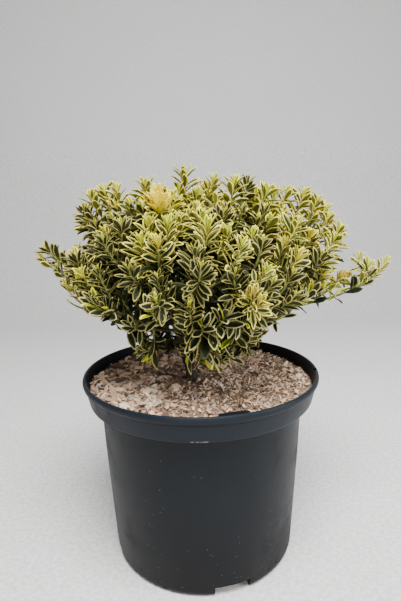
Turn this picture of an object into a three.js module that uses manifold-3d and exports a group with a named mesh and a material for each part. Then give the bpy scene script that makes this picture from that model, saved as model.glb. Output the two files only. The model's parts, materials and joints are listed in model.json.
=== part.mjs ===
// A small variegated Japanese euonymus (Microphyllus Aureovariegatus type) in a round nursery pot.
// Millimetres, +Z up. The origin is on the pot's axis at the underside; the photograph's side is -Y.
import * as THREE from 'three';
import { mergeVertices } from 'three/addons/utils/BufferGeometryUtils.js';
import Module from 'manifold-3d';

const wasm = await Module();
wasm.setup();

// Driving dimensions of the pot
const POT_HEIGHT = 176;
const RIM_RADIUS = 112;
const FOOT_RADIUS = 88;
const SHOULDER_RADIUS = 96;
const SHOULDER_HEIGHT = 150.5;
const COLLAR_RADIUS = 106;
const COLLAR_HEIGHT = 153;
const WAIST_HEIGHT = 100;
const WAIST_RADIUS = 93.8;
const WALL = 2;
const FLOOR = 3;
const RIM_LIP = 3.8;
const RIM_LIP_HEIGHT = 3;
const POT_SIDES = 36;
const DRAIN_COUNT = 4;
const DRAIN_BEARING = -74;
const DRAIN_WIDTH = 32;
const DRAIN_HEIGHT = 9.4;
const DRAIN_DEPTH = 26;
const NICK_BEARING = -6;
const NICK_WIDTH = 6;
const NICK_DEPTH = 2.6;

// Driving dimensions of the potting mix
const MIX_TOP = 165.7;
const MIX_GAP = 0.4;
const MIX_BUMP = 1.4;
const MIX_EDGE_DROP = 1.5;
const MIX_RINGS = 4;
const BARE_PATCH = 17;

// Driving dimensions of the wood
const CLEARANCE = 0.3;
const FOOT = new THREE.Vector3(-8.5, -5, MIX_TOP + CLEARANCE);
const FORK = new THREE.Vector3(-15.5, -7, 196);
const TRUNK_FOOT_RADIUS = 7.4;
const TRUNK_RADIUS = 4.4;
const TRUNK_TAPER = 0.12;
const TRUNK_SIDES = 10;
const TRUNK_SEGMENTS = 6;
const ROOT_FLARE_FALL = 7;
const ROOT_LOBES = 3;
const ROOT_LOBE = 0.16;
const MAIN_BOUGH_RADIUS = 3.1;
const SIDE_BOUGH_SHARE = 0.78;
const BOUGH_TIP_RADIUS = 1.2;

// How far along its parent a bough starts, and how much of the parent's direction it keeps
const MAIN_START = { highest: 0.98, step: 0.11 };
const SIDE_START = { lowest: 0.25, highest: 0.8 };
const FOLLOWING = 0.4;

// The bare twigs, and how far along the lead twig a side twig starts: less for a distant tip
const TWIG_RADIUS = 1.3;
const TWIG_TIP_RADIUS = 0.9;
const TWIG_START = { lowest: 0.08, highest: 0.62, fall: 120 };

// Driving dimensions of the crown: an egg-like cushion, round the heart that its masses radiate
// from; a share is of the way from the heart to a mass's tip
const HEART = new THREE.Vector3(-11, -6, 198);
const CROWN_CENTRE = new THREE.Vector3(-2, -2, 268);
const CROWN_RADII = new THREE.Vector3(124, 108, 84);
const CROWN_DEPTH_BELOW = 80;
const CROWN_LOWEST = -0.95;
const CROWN_TAPER = 0.68;
const CROWN_TIPS = 112;
const TIP_ROOM = 16;
const TIP_UNEVENNESS = 0.1;
const LOWEST_LEAF = 181;

// The crown's underside draws in to the stem: a height and how far out the leaves reach there,
// with the back and the front drawn in more or less than the sides
const UNDERSIDE = [
  [190, 60], [207, 66], [224, 74], [232, 88], [243, 108], [258, 124], [273, 132], [280, 146], [290, 220],
];
const UNDERSIDE_BACK = 1.12;
const UNDERSIDE_FRONT = 0.72;
const UNDERSIDE_NARROWING = 0.0024;

// Each mass's root and core, as shares of the way from the heart to its tip
const ROOT_SHARE = 0.42;
const CORE_SHARE = 0.66;
const CORE_LENGTH_SHARE = 0.2;
const CORE_RADIUS = 24;
const CORE_LEAST = 5;
const CORE_ROOM = 2;

// A shoot bends up to the light and ends a bud's length short of the tip that its leaves reach
const SHOOT_LIFT = 0.55;
const BEND_SHARE = 0.36;
const BUD_LENGTH = 13;

// Leaf pairs from the tip down, each at its distance below the end of the twig
const LEAF_PAIRS = [
  { below: 0, length: 18, opening: 26 },
  { below: 10, length: 26, opening: 50 },
  { below: 24, length: 30, opening: 64 },
];
const BARE_SHARE = 0.1;
const LEAF_WIDTH_SHARE = 0.42;
const LEAF_THICKNESS = 1;
const LEAF_SUNK = 0.4;
const LEAF_ROOM = 2.6;
const MENDING = 0.03;

// Each foliage mass reaches the tips of its lead twig and of its second longest one; a main mass
// has a bough of its own from the trunk
const MASSES = [
  { name: 'top', main: true, tips: [[-11, 2, 364], [11, 12, 352]] },
  { name: 'top_left', tips: [[-44, -20, 353], [-57, -34, 336]] },
  { name: 'top_right', tips: [[32, -30, 353], [52, -5, 344]] },
  { name: 'upper_left', main: true, tips: [[-86, 5, 350], [-106, 15, 333]] },
  { name: 'upper_right', main: true, tips: [[102, 15, 344], [121, 12, 329]] },
  { name: 'left_arm', sparse: true, lift: 0.25, tips: [[-143, 0, 297], [-131, -6, 282], [-124, -14, 266]] },
  { name: 'right', tips: [[130, -8, 310], [112, -35, 294], [122, -4, 277]] },
  { name: 'right_spray', main: true, sparse: true, lift: 0.05, tips: [[190, 26, 277], [144, 20, 264]] },
  { name: 'front_left', tips: [[-43, -80, 309], [-52, -90, 289]] },
  { name: 'front_centre', main: true, lift: 0.35, tips: [[-1, -112, 301], [8, -88, 319], [32, -102, 307]] },
  { name: 'front_right', lift: 0.35, tips: [[52, -96, 286], [42, -104, 270]] },
  { name: 'right_front', tips: [[80, -55, 319], [79, -70, 294]] },
  { name: 'front_low', lift: 0.35, tips: [[4, -88, 242], [10, -104, 262], [7, -61, 212], [33, -56, 209]] },
  { name: 'front_left_low', tips: [[-68, -64, 255], [-58, -52, 232], [-50, -38, 208]] },
  { name: 'front_right_low', tips: [[56, -70, 248], [56, -46, 232]] },
  { name: 'left_low', tips: [[-95, -20, 246], [-74, 14, 240]] },
  { name: 'right_low', tips: [[83, -22, 246], [70, 8, 232]] },
  { name: 'back_left', main: true, tips: [[-82, 72, 318], [-108, 46, 300]] },
  { name: 'back_upper_left', tips: [[-34, 60, 350], [-52, 42, 344]] },
  { name: 'back_upper_right', tips: [[62, 40, 347], [24, 62, 342]] },
  { name: 'back_right', main: true, tips: [[78, 78, 322], [112, 50, 308]] },
  { name: 'back_centre', tips: [[-4, 108, 300], [14, 92, 322]] },
  { name: 'back_left_low', tips: [[-70, 76, 254], [-46, 76, 236]] },
  { name: 'back_right_low', tips: [[54, 88, 254], [70, 60, 240]] },
];

const radians = THREE.MathUtils.degToRad;
const UP = new THREE.Vector3(0, 0, 1);

const PLASTIC = new THREE.MeshStandardMaterial({ color: 0x33383b, roughness: 0.55, metalness: 0 });
const MIX = new THREE.MeshStandardMaterial({ color: 0x9a8570, roughness: 0.95, metalness: 0 });
const BARK = new THREE.MeshStandardMaterial({ color: 0x5a4034, roughness: 0.85, metalness: 0 });
const FOLIAGE = new THREE.MeshStandardMaterial({ color: 0xb9b565, roughness: 0.6, metalness: 0 });

// Always the same run of numbers between 0 and 1 for the same seed
function seededRun(seed) {
  let state = seed;
  return () => {
    state = (state * 48271) % 2147483647;
    return state / 2147483647;
  };
}

// Closed solid from a closed three.js geometry
function solidOf(geometry) {
  for (const extra of ['normal', 'uv']) geometry.deleteAttribute(extra);
  const merged = mergeVertices(geometry, 1e-4);
  const corners = merged.index.array;
  const kept = [];
  for (let i = 0; i < corners.length; i += 3) {
    const [a, b, c] = corners.slice(i, i + 3);
    if (a !== b && b !== c && c !== a) kept.push(a, b, c);
  }
  const mesh = new wasm.Mesh({
    numProp: 3,
    vertProperties: new Float32Array(merged.attributes.position.array),
    triVerts: new Uint32Array(kept),
  });
  return new wasm.Manifold(mesh);
}

// The largest piece of a solid, without loose scraps and sealed hollows
function largestPiece(solid) {
  const pieces = solid.decompose();
  return pieces.reduce((best, piece) => (piece.volume() > best.volume() ? piece : best));
}

// Whether a solid is still closed when its corners are rounded to a thousandth
function staysClosed(solid) {
  const { vertProperties, triVerts } = solid.getMesh();
  const cornerOf = (vertex) => (
    [0, 1, 2].map((axis) => Math.round(vertProperties[3 * vertex + axis] * 1000)).join());
  const edges = new Map();
  for (let i = 0; i < triVerts.length; i += 3) {
    const [a, b, c] = [0, 1, 2].map((step) => cornerOf(triVerts[i + step]));
    if (a === b || b === c || c === a) continue;
    for (const [from, to] of [[a, b], [b, c], [c, a]]) {
      const edge = `${from} ${to}`;
      edges.set(edge, (edges.get(edge) ?? 0) + 1);
    }
  }
  return [...edges].every(([edge, count]) => (
    count === 1 && edges.get(edge.split(' ').reverse().join(' ')) === 1));
}

// A solid with more pieces fused on, each left out where it would spoil the closed surface
function fuse(solid, pieces) {
  let whole = solid;
  for (const piece of pieces) {
    const joined = largestPiece(whole.add(piece).asOriginal().simplify(MENDING));
    if (staysClosed(joined)) whole = joined;
  }
  return whole;
}

// Named mesh of a finished solid
function meshOf(name, solid, material) {
  const { vertProperties, triVerts } = solid.getMesh();
  const geometry = new THREE.BufferGeometry();
  geometry.setAttribute('position', new THREE.BufferAttribute(vertProperties, 3));
  geometry.setIndex(new THREE.BufferAttribute(triVerts, 1));
  geometry.computeVertexNormals();
  const mesh = new THREE.Mesh(geometry, material);
  mesh.name = name;
  return mesh;
}

// Lathe turned about Z from [radius, height] points
function turned(profile, sides) {
  const points = profile.map(([radius, height]) => new THREE.Vector2(radius, height));
  return new THREE.LatheGeometry(points, sides).rotateX(Math.PI / 2);
}

// Tapered round bar bent along a curve; radiusAt takes the share of the way along
function bentBar(curve, radiusAt, sides, segments) {
  const geometry = new THREE.CylinderGeometry(1, 1, 1, sides, segments);
  const frames = curve.computeFrenetFrames(segments);
  const place = geometry.attributes.position;
  for (let i = 0; i < place.count; i += 1) {
    const ring = Math.round((place.getY(i) + 0.5) * segments);
    const radius = radiusAt(ring / segments);
    const point = curve.getPointAt(ring / segments);
    point.addScaledVector(frames.binormals[ring], place.getX(i) * radius);
    point.addScaledVector(frames.normals[ring], place.getZ(i) * radius);
    place.setXYZ(i, point.x, point.y, point.z);
  }
  return geometry;
}

// Shortest distance between the segments p0-p1 and q0-q1, by sampling one of them
function segmentDistance(p0, p1, q0, q1) {
  const line = new THREE.Line3(q0, q1);
  const nearest = new THREE.Vector3();
  const sample = new THREE.Vector3();
  let best = Infinity;
  for (let step = 0; step <= 8; step += 1) {
    sample.lerpVectors(p0, p1, step / 8);
    line.closestPointToPoint(sample, true, nearest);
    best = Math.min(best, sample.distanceTo(nearest));
  }
  return best;
}

function buildPot() {
  const rim = RIM_RADIUS;
  const top = POT_HEIGHT;
  const profile = [
    [0, 0], [FOOT_RADIUS - 3, 0], [FOOT_RADIUS - 0.6, 1.2], [FOOT_RADIUS, 3.4],
    [WAIST_RADIUS, WAIST_HEIGHT], [SHOULDER_RADIUS, SHOULDER_HEIGHT],
    [COLLAR_RADIUS, COLLAR_HEIGHT], [rim - 2.4, top - 7], [rim - 0.5, top - 5.4],
    [rim, top - 2.4], [rim - 1, top], [rim - 3, top], [rim - RIM_LIP, top - RIM_LIP_HEIGHT],
    [COLLAR_RADIUS - WALL, COLLAR_HEIGHT + WALL],
    [SHOULDER_RADIUS - WALL, SHOULDER_HEIGHT + WALL],
    [WAIST_RADIUS - WALL, WAIST_HEIGHT],
    [FOOT_RADIUS - WALL - 0.2, FLOOR + 4], [FOOT_RADIUS - WALL - 3, FLOOR], [0, FLOOR],
  ];
  let pot = solidOf(turned(profile, POT_SIDES));
  for (let i = 0; i < DRAIN_COUNT; i += 1) {
    const drain = new THREE.BoxGeometry(DRAIN_DEPTH, DRAIN_WIDTH, 2 * DRAIN_HEIGHT);
    drain.translate(FOOT_RADIUS, 0, 0);
    drain.rotateZ(radians(DRAIN_BEARING + (360 / DRAIN_COUNT) * i));
    pot = pot.subtract(solidOf(drain));
  }
  const nick = new THREE.BoxGeometry(4 * RIM_LIP, NICK_WIDTH, 2 * NICK_DEPTH);
  nick.translate(rim, 0, top).rotateZ(radians(NICK_BEARING));
  return largestPiece(pot.subtract(solidOf(nick)));
}

// Height of the chips' bumps, none of it where the trunk stands
function mixBump(x, y) {
  const away = Math.hypot(x - FOOT.x, y - FOOT.y);
  const share = THREE.MathUtils.smoothstep(away, BARE_PATCH, 2 * BARE_PATCH);
  const broad = Math.sin(x / 7.7 + 1.1) * Math.cos(y / 9.1);
  const fine = Math.sin(x / 3.4 - y / 4.3);
  return share * MIX_BUMP * 0.5 * (broad + fine);
}

function buildMix() {
  const reach = COLLAR_RADIUS - WALL - MIX_GAP;
  const ledge = COLLAR_HEIGHT + WALL;
  const flare = (RIM_RADIUS - RIM_LIP - COLLAR_RADIUS + WALL) / (POT_HEIGHT - RIM_LIP_HEIGHT - ledge);
  const edge = reach + flare * (MIX_TOP - MIX_EDGE_DROP - ledge);
  const profile = [
    [0, FLOOR + MIX_GAP], [FOOT_RADIUS - WALL - 16, FLOOR + MIX_GAP],
    [FOOT_RADIUS - WALL - MIX_GAP - 0.6, FLOOR + 10],
    [WAIST_RADIUS - WALL - MIX_GAP, WAIST_HEIGHT],
    [SHOULDER_RADIUS - WALL - MIX_GAP, SHOULDER_HEIGHT + WALL + MIX_GAP],
    [reach, ledge + MIX_GAP],
    [edge, MIX_TOP - MIX_EDGE_DROP],
  ];
  for (let ring = 0; ring <= MIX_RINGS; ring += 1) {
    profile.push([(edge - 3) * (1 - ring / MIX_RINGS), MIX_TOP]);
  }
  const geometry = turned(profile, POT_SIDES);
  const place = geometry.attributes.position;
  for (let i = 0; i < place.count; i += 1) {
    const height = place.getZ(i);
    if (height > MIX_TOP - 0.1) place.setZ(i, height + mixBump(place.getX(i), place.getY(i)));
  }
  return solidOf(geometry);
}

// Lobed foot with a flat cut at the mix, then an even taper to the fork
function buildTrunk() {
  const lean = FORK.clone().sub(FOOT).multiplyScalar(0.4);
  const curve = new THREE.CubicBezierCurve3(
    FOOT, FOOT.clone().add(new THREE.Vector3(lean.x * 0.4, lean.y * 0.4, lean.z)),
    FORK.clone().sub(lean), FORK);
  const sides = TRUNK_SIDES;
  const segments = TRUNK_SEGMENTS;
  const taper = (share) => {
    const flare = Math.exp(-share * ROOT_FLARE_FALL) * (TRUNK_FOOT_RADIUS - TRUNK_RADIUS);
    return TRUNK_RADIUS * (1 - TRUNK_TAPER * share) + flare;
  };
  const geometry = bentBar(curve, taper, sides, segments);
  const place = geometry.attributes.position;
  for (let i = 0; i < place.count; i += 1) {
    const x = place.getX(i) - FOOT.x;
    const y = place.getY(i) - FOOT.y;
    const height = place.getZ(i) - FOOT.z;
    if (height < 1.5) {
      const lobe = 1 + ROOT_LOBE * Math.cos(ROOT_LOBES * Math.atan2(y, x) + 0.7);
      place.setXYZ(i, FOOT.x + x * lobe, FOOT.y + y * lobe, FOOT.z);
    }
  }
  return { name: 'trunk', curve, taper, sides, segments, solid: solidOf(geometry) };
}

// The direction of a shoot's last stretch: outwards from the heart, and lifted to the light
function shootDirection(tip, lift) {
  return tip.clone().sub(HEART).normalize().addScaledVector(UP, lift).normalize();
}

// The twig from start towards a rosette tip, which stands a bud's length past the twig's end
function twigCurve(start, tip, lift) {
  const direction = shootDirection(tip, lift);
  const end = tip.clone().addScaledVector(direction, -BUD_LENGTH);
  const bend = end.clone().addScaledVector(direction, -BEND_SHARE * end.distanceTo(start));
  return new THREE.QuadraticBezierCurve3(start, bend, end);
}

// A mass's axis, the root where its bough ends, and its lead twig to its own tip
function layOut(mass) {
  const [tip, ...tips] = mass.tips.map((place) => new THREE.Vector3(...place));
  const reach = tip.clone().sub(HEART);
  const root = HEART.clone().addScaledVector(reach, ROOT_SHARE);
  const lift = mass.lift ?? SHOOT_LIFT;
  const lead = twigCurve(root, tip, lift);
  return { ...mass, tip, tips, lift, root, lead, axis: reach.normalize() };
}

// A limb's round sections as short straight stretches, for the distance tests
function stretches(curve, radiusAt, count) {
  const list = [];
  for (let i = 0; i < count; i += 1) {
    const from = curve.getPointAt(i / count);
    const to = curve.getPointAt((i + 1) / count);
    list.push({ from, to, radius: radiusAt(i / count) });
  }
  return list;
}

function touches(from, to, radius, limbs) {
  return limbs.some((limb) => limb.stretches.some((part) => (
    segmentDistance(from, to, part.from, part.to) < part.radius + radius + CLEARANCE)));
}

// A tapering bough from its parent limb to a mass's root, cut clear of the limbs made before it
function buildBough(mass, parent, leave, limbs) {
  const start = parent.curve.getPointAt(leave);
  const end = mass.root.clone().addScaledVector(mass.lead.getTangentAt(0), -CLEARANCE);
  const startWay = end.clone().sub(start).normalize();
  startWay.addScaledVector(parent.curve.getTangentAt(leave), FOLLOWING).normalize();
  const endWay = mass.lead.getTangentAt(0);
  const third = start.distanceTo(end) / 3;
  const curve = new THREE.CubicBezierCurve3(
    start, start.clone().addScaledVector(startWay, third),
    end.clone().addScaledVector(endWay, -third), end);
  const thick = mass.main ? MAIN_BOUGH_RADIUS : SIDE_BOUGH_SHARE * parent.taper(leave);
  const sides = mass.main ? 6 : 5;
  const segments = mass.main ? 5 : 4;
  const taper = (share) => THREE.MathUtils.lerp(thick, BOUGH_TIP_RADIUS, share);
  let solid = solidOf(bentBar(curve, taper, sides, segments));
  for (const limb of limbs) {
    const wider = (share) => limb.taper(share) + 1.25 * CLEARANCE;
    solid = solid.subtract(solidOf(bentBar(limb.curve, wider, limb.sides, limb.segments)));
  }
  const name = `bough_${mass.name}`;
  return { name, curve, taper, sides, segments, solid: largestPiece(solid) };
}

// A point is in a mass's space where the mass's axis is the nearest one, seen from the heart
function inSpace(point, mass, masses) {
  if (point.z < LOWEST_LEAF) return false;
  const ray = point.clone().sub(HEART);
  return masses.every((other) => {
    if (other === mass) return true;
    const across = mass.axis.clone().sub(other.axis);
    return ray.dot(across) > 0.5 * CLEARANCE * across.length();
  });
}

// Whether a point lies outside the crown where its underside draws in to the stem
function beyondUnderside(point) {
  const deep = point.y - CROWN_CENTRE.y;
  const across = (point.x - CROWN_CENTRE.x) * (1 - UNDERSIDE_NARROWING * Math.min(deep, 0));
  const reach = Math.hypot(across, deep * (deep > 0 ? UNDERSIDE_BACK : UNDERSIDE_FRONT));
  const next = UNDERSIDE.findIndex(([height]) => height > point.z);
  if (next < 0) return false;
  const [high, far] = UNDERSIDE[next];
  const [low, near] = UNDERSIDE[Math.max(next - 1, 0)];
  const share = THREE.MathUtils.clamp((point.z - low) / Math.max(high - low, 1), 0, 1);
  return reach > THREE.MathUtils.lerp(near, far, share);
}

// Evenly spread points on the crown's surface, which is domed above and tapers below: the first
// few are as even as all of them
function crownPoint(order) {
  const low = CROWN_LOWEST;
  const height = 1 - (1 - low) * ((order * 0.7548776662466927) % 1);
  const bearing = 2 * Math.PI * ((order * 0.5698402909980532) % 1);
  const level = height > 0 ? Math.sqrt(1 - height * height) : 1 + CROWN_TAPER * height;
  const tall = height > 0 ? CROWN_RADII.z : CROWN_DEPTH_BELOW;
  return new THREE.Vector3(
    CROWN_CENTRE.x + CROWN_RADII.x * level * Math.cos(bearing),
    CROWN_CENTRE.y + CROWN_RADII.y * level * Math.sin(bearing),
    CROWN_CENTRE.z + tall * height);
}

function ownerOf(point, masses) {
  const ray = point.clone().sub(HEART);
  return masses.reduce((best, mass) => (ray.dot(mass.axis) > ray.dot(best.axis) ? mass : best));
}

// One leaf: a flat eight-faced blade with its root sunk past the twig's middle
function leafGeometry(root, along, across, length) {
  const normal = along.clone().cross(across);
  const geometry = new THREE.OctahedronGeometry(1, 0);
  geometry.scale(0.5 * (length + LEAF_SUNK), 0.5 * LEAF_WIDTH_SHARE * length, 0.5 * LEAF_THICKNESS);
  geometry.applyMatrix4(new THREE.Matrix4().makeBasis(along, across, normal));
  const middle = root.clone().addScaledVector(along, 0.5 * (length - LEAF_SUNK));
  return geometry.translate(middle.x, middle.y, middle.z);
}

// Whether a leaf's midrib comes too near to that of a leaf from another node
function crowded(root, far, midribs) {
  return midribs.some((other) => (
    !other.root.equals(root) && segmentDistance(root, far, other.root, other.far) < LEAF_ROOM));
}

// A twig's crossed pairs of leaves, without those that leave the mass's space or the crown, touch
// a limb or cross another leaf
function leavesOn(curve, mass, masses, limbs, midribs, random) {
  const length = curve.getLength();
  const frames = curve.computeFrenetFrames(1);
  const turn = random() * Math.PI;
  const leaves = [];
  LEAF_PAIRS.forEach((pair, order) => {
    const share = 1 - pair.below / length;
    if (share < BARE_SHARE) return;
    const root = curve.getPointAt(share);
    const way = curve.getTangentAt(share);
    for (const side of [0, 1]) {
      const angle = turn + (order * 0.5 + side) * Math.PI;
      const out = frames.normals[1].clone().applyAxisAngle(frames.tangents[1], angle);
      out.addScaledVector(way, -out.dot(way)).normalize();
      const opening = radians(pair.opening * (0.9 + 0.2 * random()));
      const along = way.clone().multiplyScalar(Math.cos(opening)).addScaledVector(out, Math.sin(opening));
      const across = way.clone().cross(out).normalize();
      const geometry = leafGeometry(root, along, across, pair.length);
      const place = geometry.attributes.position;
      const corner = new THREE.Vector3();
      let kept = true;
      for (let i = 0; i < place.count; i += 1) {
        kept = kept && inSpace(corner.fromBufferAttribute(place, i), mass, masses);
        kept = kept && (mass.sparse || !beyondUnderside(corner));
      }
      const far = root.clone().addScaledVector(along, pair.length);
      const halfWidth = 0.5 * LEAF_WIDTH_SHARE * pair.length;
      if (kept && !crowded(root, far, midribs) && !touches(root, far, halfWidth, limbs)) {
        midribs.push({ root, far });
        leaves.push(solidOf(geometry));
      }
    }
  });
  return leaves;
}

// The many-sided core of a mass: as wide as the mass's space and the limbs near it allow
function coreSolid(mass, masses, limbs) {
  const centre = HEART.clone().addScaledVector(mass.axis, CORE_SHARE * mass.tip.distanceTo(HEART));
  const long = CORE_LENGTH_SHARE * mass.tip.distanceTo(HEART);
  const turn = new THREE.Quaternion().setFromUnitVectors(UP, mass.axis);
  const corner = new THREE.Vector3();
  for (let wide = CORE_RADIUS; wide > CORE_LEAST; wide *= 0.9) {
    const geometry = new THREE.IcosahedronGeometry(1, 0).scale(wide, wide, Math.min(long, 2 * wide));
    geometry.applyQuaternion(turn).translate(centre.x, centre.y, centre.z);
    const place = geometry.attributes.position;
    let kept = true;
    for (let i = 0; kept && i < place.count; i += 1) {
      corner.fromBufferAttribute(place, i);
      kept = inSpace(corner, mass, masses) && !touches(centre, corner, CORE_ROOM, limbs);
    }
    if (kept) return solidOf(geometry);
  }
  throw new Error(`no room for the core of ${mass.name}`);
}

// Three-sided twig, or nothing where it would leave the mass's space or touch a limb
function twigSolid(curve, segments, mass, masses, limbs) {
  const taper = (share) => THREE.MathUtils.lerp(TWIG_RADIUS, TWIG_TIP_RADIUS, share);
  const geometry = bentBar(curve, taper, 3, segments);
  const place = geometry.attributes.position;
  const corner = new THREE.Vector3();
  for (let i = 0; i < place.count; i += 1) {
    if (!inSpace(corner.fromBufferAttribute(place, i), mass, masses)) return null;
  }
  const parts = stretches(curve, taper, segments);
  if (parts.some((part) => touches(part.from, part.to, part.radius, limbs))) return null;
  return solidOf(geometry);
}

// A mass of foliage: the lead twig, the side twigs that branch from it, and their leaves
function buildMass(mass, masses, limbs) {
  const random = seededRun(101 + 37 * masses.indexOf(mass));
  const strangers = limbs.filter((limb) => limb.name !== `bough_${mass.name}`);
  const lead = twigSolid(mass.lead, 4, mass, masses, strangers);
  if (!lead) throw new Error(`no room for the lead twig of ${mass.name}`);
  const midribs = [];
  const core = mass.sparse ? [] : [coreSolid(mass, masses, strangers)];
  const pieces = [...core, lead, ...leavesOn(mass.lead, mass, masses, limbs, midribs, random)];
  for (const tip of mass.tips) {
    const away = tip.distanceTo(mass.tip);
    const share = TWIG_START.highest - away / TWIG_START.fall;
    const start = mass.lead.getPointAt(Math.max(share, TWIG_START.lowest));
    const curve = twigCurve(start, tip, SHOOT_LIFT);
    const twig = twigSolid(curve, 2, mass, masses, limbs);
    if (twig) pieces.push(twig, ...leavesOn(curve, mass, masses, limbs, midribs, random));
  }
  return fuse(pieces[0], pieces.slice(1));
}

function buildPlant() {
  const masses = MASSES.map(layOut);
  const random = seededRun(7919);
  for (let order = 1; order <= CROWN_TIPS; order += 1) {
    const tip = crownPoint(order);
    const owner = ownerOf(tip, masses);
    tip.lerp(HEART, TIP_UNEVENNESS * random());
    const taken = [owner.tip, ...owner.tips];
    if (taken.every((other) => tip.distanceTo(other) > TIP_ROOM)) owner.tips.push(tip);
  }
  const limbs = [];
  const trunk = buildTrunk();
  trunk.stretches = stretches(trunk.curve, trunk.taper, trunk.segments);
  limbs.push(trunk);
  const addBough = (mass, parent, leave) => {
    const bough = buildBough(mass, parent, leave, limbs);
    bough.stretches = stretches(bough.curve, bough.taper, bough.segments);
    limbs.push(bough);
    return bough;
  };
  const mains = masses.filter((mass) => mass.main);
  mains.forEach((mass, order) => {
    mass.bough = addBough(mass, trunk, MAIN_START.highest - MAIN_START.step * order);
    mass.carried = [];
  });
  for (const mass of masses.filter((other) => !other.main)) {
    const nearest = mains.reduce((best, main) => (
      main.axis.dot(mass.axis) > best.axis.dot(mass.axis) ? main : best));
    nearest.carried.push(mass);
  }
  for (const main of mains) {
    main.carried.forEach((mass, order) => {
      const share = (order + 0.5) / main.carried.length;
      addBough(mass, main.bough, THREE.MathUtils.lerp(SIDE_START.lowest, SIDE_START.highest, share));
    });
  }
  return { masses, limbs };
}

const plant = new THREE.Group();
plant.add(meshOf('pot', buildPot(), PLASTIC));
plant.add(meshOf('potting_mix', buildMix(), MIX));
const { masses, limbs } = buildPlant();
for (const limb of limbs) plant.add(meshOf(limb.name, limb.solid, BARK));
for (const mass of masses) {
  plant.add(meshOf(`foliage_${mass.name}`, buildMass(mass, masses, limbs), FOLIAGE));
}

export default plant;
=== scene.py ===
"""Looks of a small variegated evergreen shrub in a round plastic nursery pot.

The limbs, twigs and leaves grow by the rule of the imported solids, carried to finer twigs.
Sizes are named in millimetres and turned to metres where a mesh is made.
"""

import json
import math

import bmesh
import bpy
import numpy as np
from mathutils import Matrix, Vector, noise

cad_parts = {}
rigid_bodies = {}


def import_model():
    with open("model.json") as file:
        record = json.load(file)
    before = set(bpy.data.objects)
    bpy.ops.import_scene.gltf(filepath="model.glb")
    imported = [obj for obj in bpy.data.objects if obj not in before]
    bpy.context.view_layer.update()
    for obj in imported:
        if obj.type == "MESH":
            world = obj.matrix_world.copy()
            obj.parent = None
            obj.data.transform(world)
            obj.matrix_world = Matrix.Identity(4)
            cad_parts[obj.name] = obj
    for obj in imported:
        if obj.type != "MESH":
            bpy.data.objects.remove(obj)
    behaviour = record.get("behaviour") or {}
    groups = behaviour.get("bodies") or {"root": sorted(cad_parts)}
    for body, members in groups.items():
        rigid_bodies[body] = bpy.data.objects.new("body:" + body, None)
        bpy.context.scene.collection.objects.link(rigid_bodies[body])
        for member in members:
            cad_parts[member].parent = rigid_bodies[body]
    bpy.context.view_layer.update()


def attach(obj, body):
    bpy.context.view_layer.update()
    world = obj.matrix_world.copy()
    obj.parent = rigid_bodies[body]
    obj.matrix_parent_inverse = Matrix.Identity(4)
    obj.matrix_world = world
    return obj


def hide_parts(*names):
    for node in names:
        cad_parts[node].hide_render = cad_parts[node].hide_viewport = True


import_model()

MM = 0.001
UP = Vector((0, 0, 1))
DOWN = Vector((0, 0, -1))


def vectors(*rows):
    """Places in millimetres as vectors."""
    return tuple(Vector(row) for row in rows)


# Pot
POT_HEIGHT = 176
RIM_RADIUS = 112
FOOT_RADIUS = 88
WAIST_HEIGHT = 100
WAIST_RADIUS = 93.8
SHOULDER_RADIUS = 96
SHOULDER_HEIGHT = 150.5
COLLAR_RADIUS = 106
COLLAR_HEIGHT = 153
WALL = 2
FLOOR = 3
RIM_LIP = 3.8
RIM_LIP_HEIGHT = 3
POT_SIDES = 180
DRAIN_COUNT = 4
DRAIN_BEARING = -74
DRAIN_SIZE = (26, 32, 18.8)
NICK_BEARING = -6
NICK_SIZE = (15.2, 6, 5.2)
LEDGE_BEARINGS = (-83, -70)
LEDGE_RADII = (104.6, 109.4)
LEDGE_HEIGHTS = (174.2, 175.7)
LEDGE_STEPS = 8

# Bark mulch on the potting mix
MIX_TOP = 165.7
MULCH_FROM = MIX_TOP - 2.6
MIX_GAP = 0.4
MIX_BUMP = 1.4
MIX_EDGE_DROP = 1.5
MIX_RINGS = 26
BARE_PATCH = 17
CHIP_REACH = 106.2
CHIP_TILT = 44
HUMP = 4.2
# Breadth and thickness of each kind of chip as shares of its length, and its corners
CHIP_KINDS = (
    (0.72, 0.30, 13), (0.24, 0.14, 10), (0.9, 0.34, 14), (0.14, 0.10, 9),
    (0.5, 0.22, 12), (0.12, 0.09, 9), (0.36, 0.24, 11), (0.62, 0.42, 13),
)
CHIP_INPUTS = ("spacing", "density", "small", "large", "rise", "left_share", "clear_reach",
               "darker", "seed")
CHIP_LAYERS = (
    (0.0024, 420000.0, 0.0030, 0.0090, 0.0022, 0.0, 0.0, 0.0, 3),
    (0.0062, 80000.0, 0.0058, 0.0135, 0.0034, 0.0, 0.0, 0.08, 8),
    (0.0105, 30000.0, 0.0085, 0.0145, 0.0044, 0.35, 0.0, 0.22, 21),
    (0.0018, 600000.0, 0.0022, 0.0044, 0.0018, 0.0, 0.0985, 0.12, 34),
)
HOLLOW = Vector((33, -97))
HOLLOW_SIZE = (24, 6)
HOLLOW_DEPTH = 3.4

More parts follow.
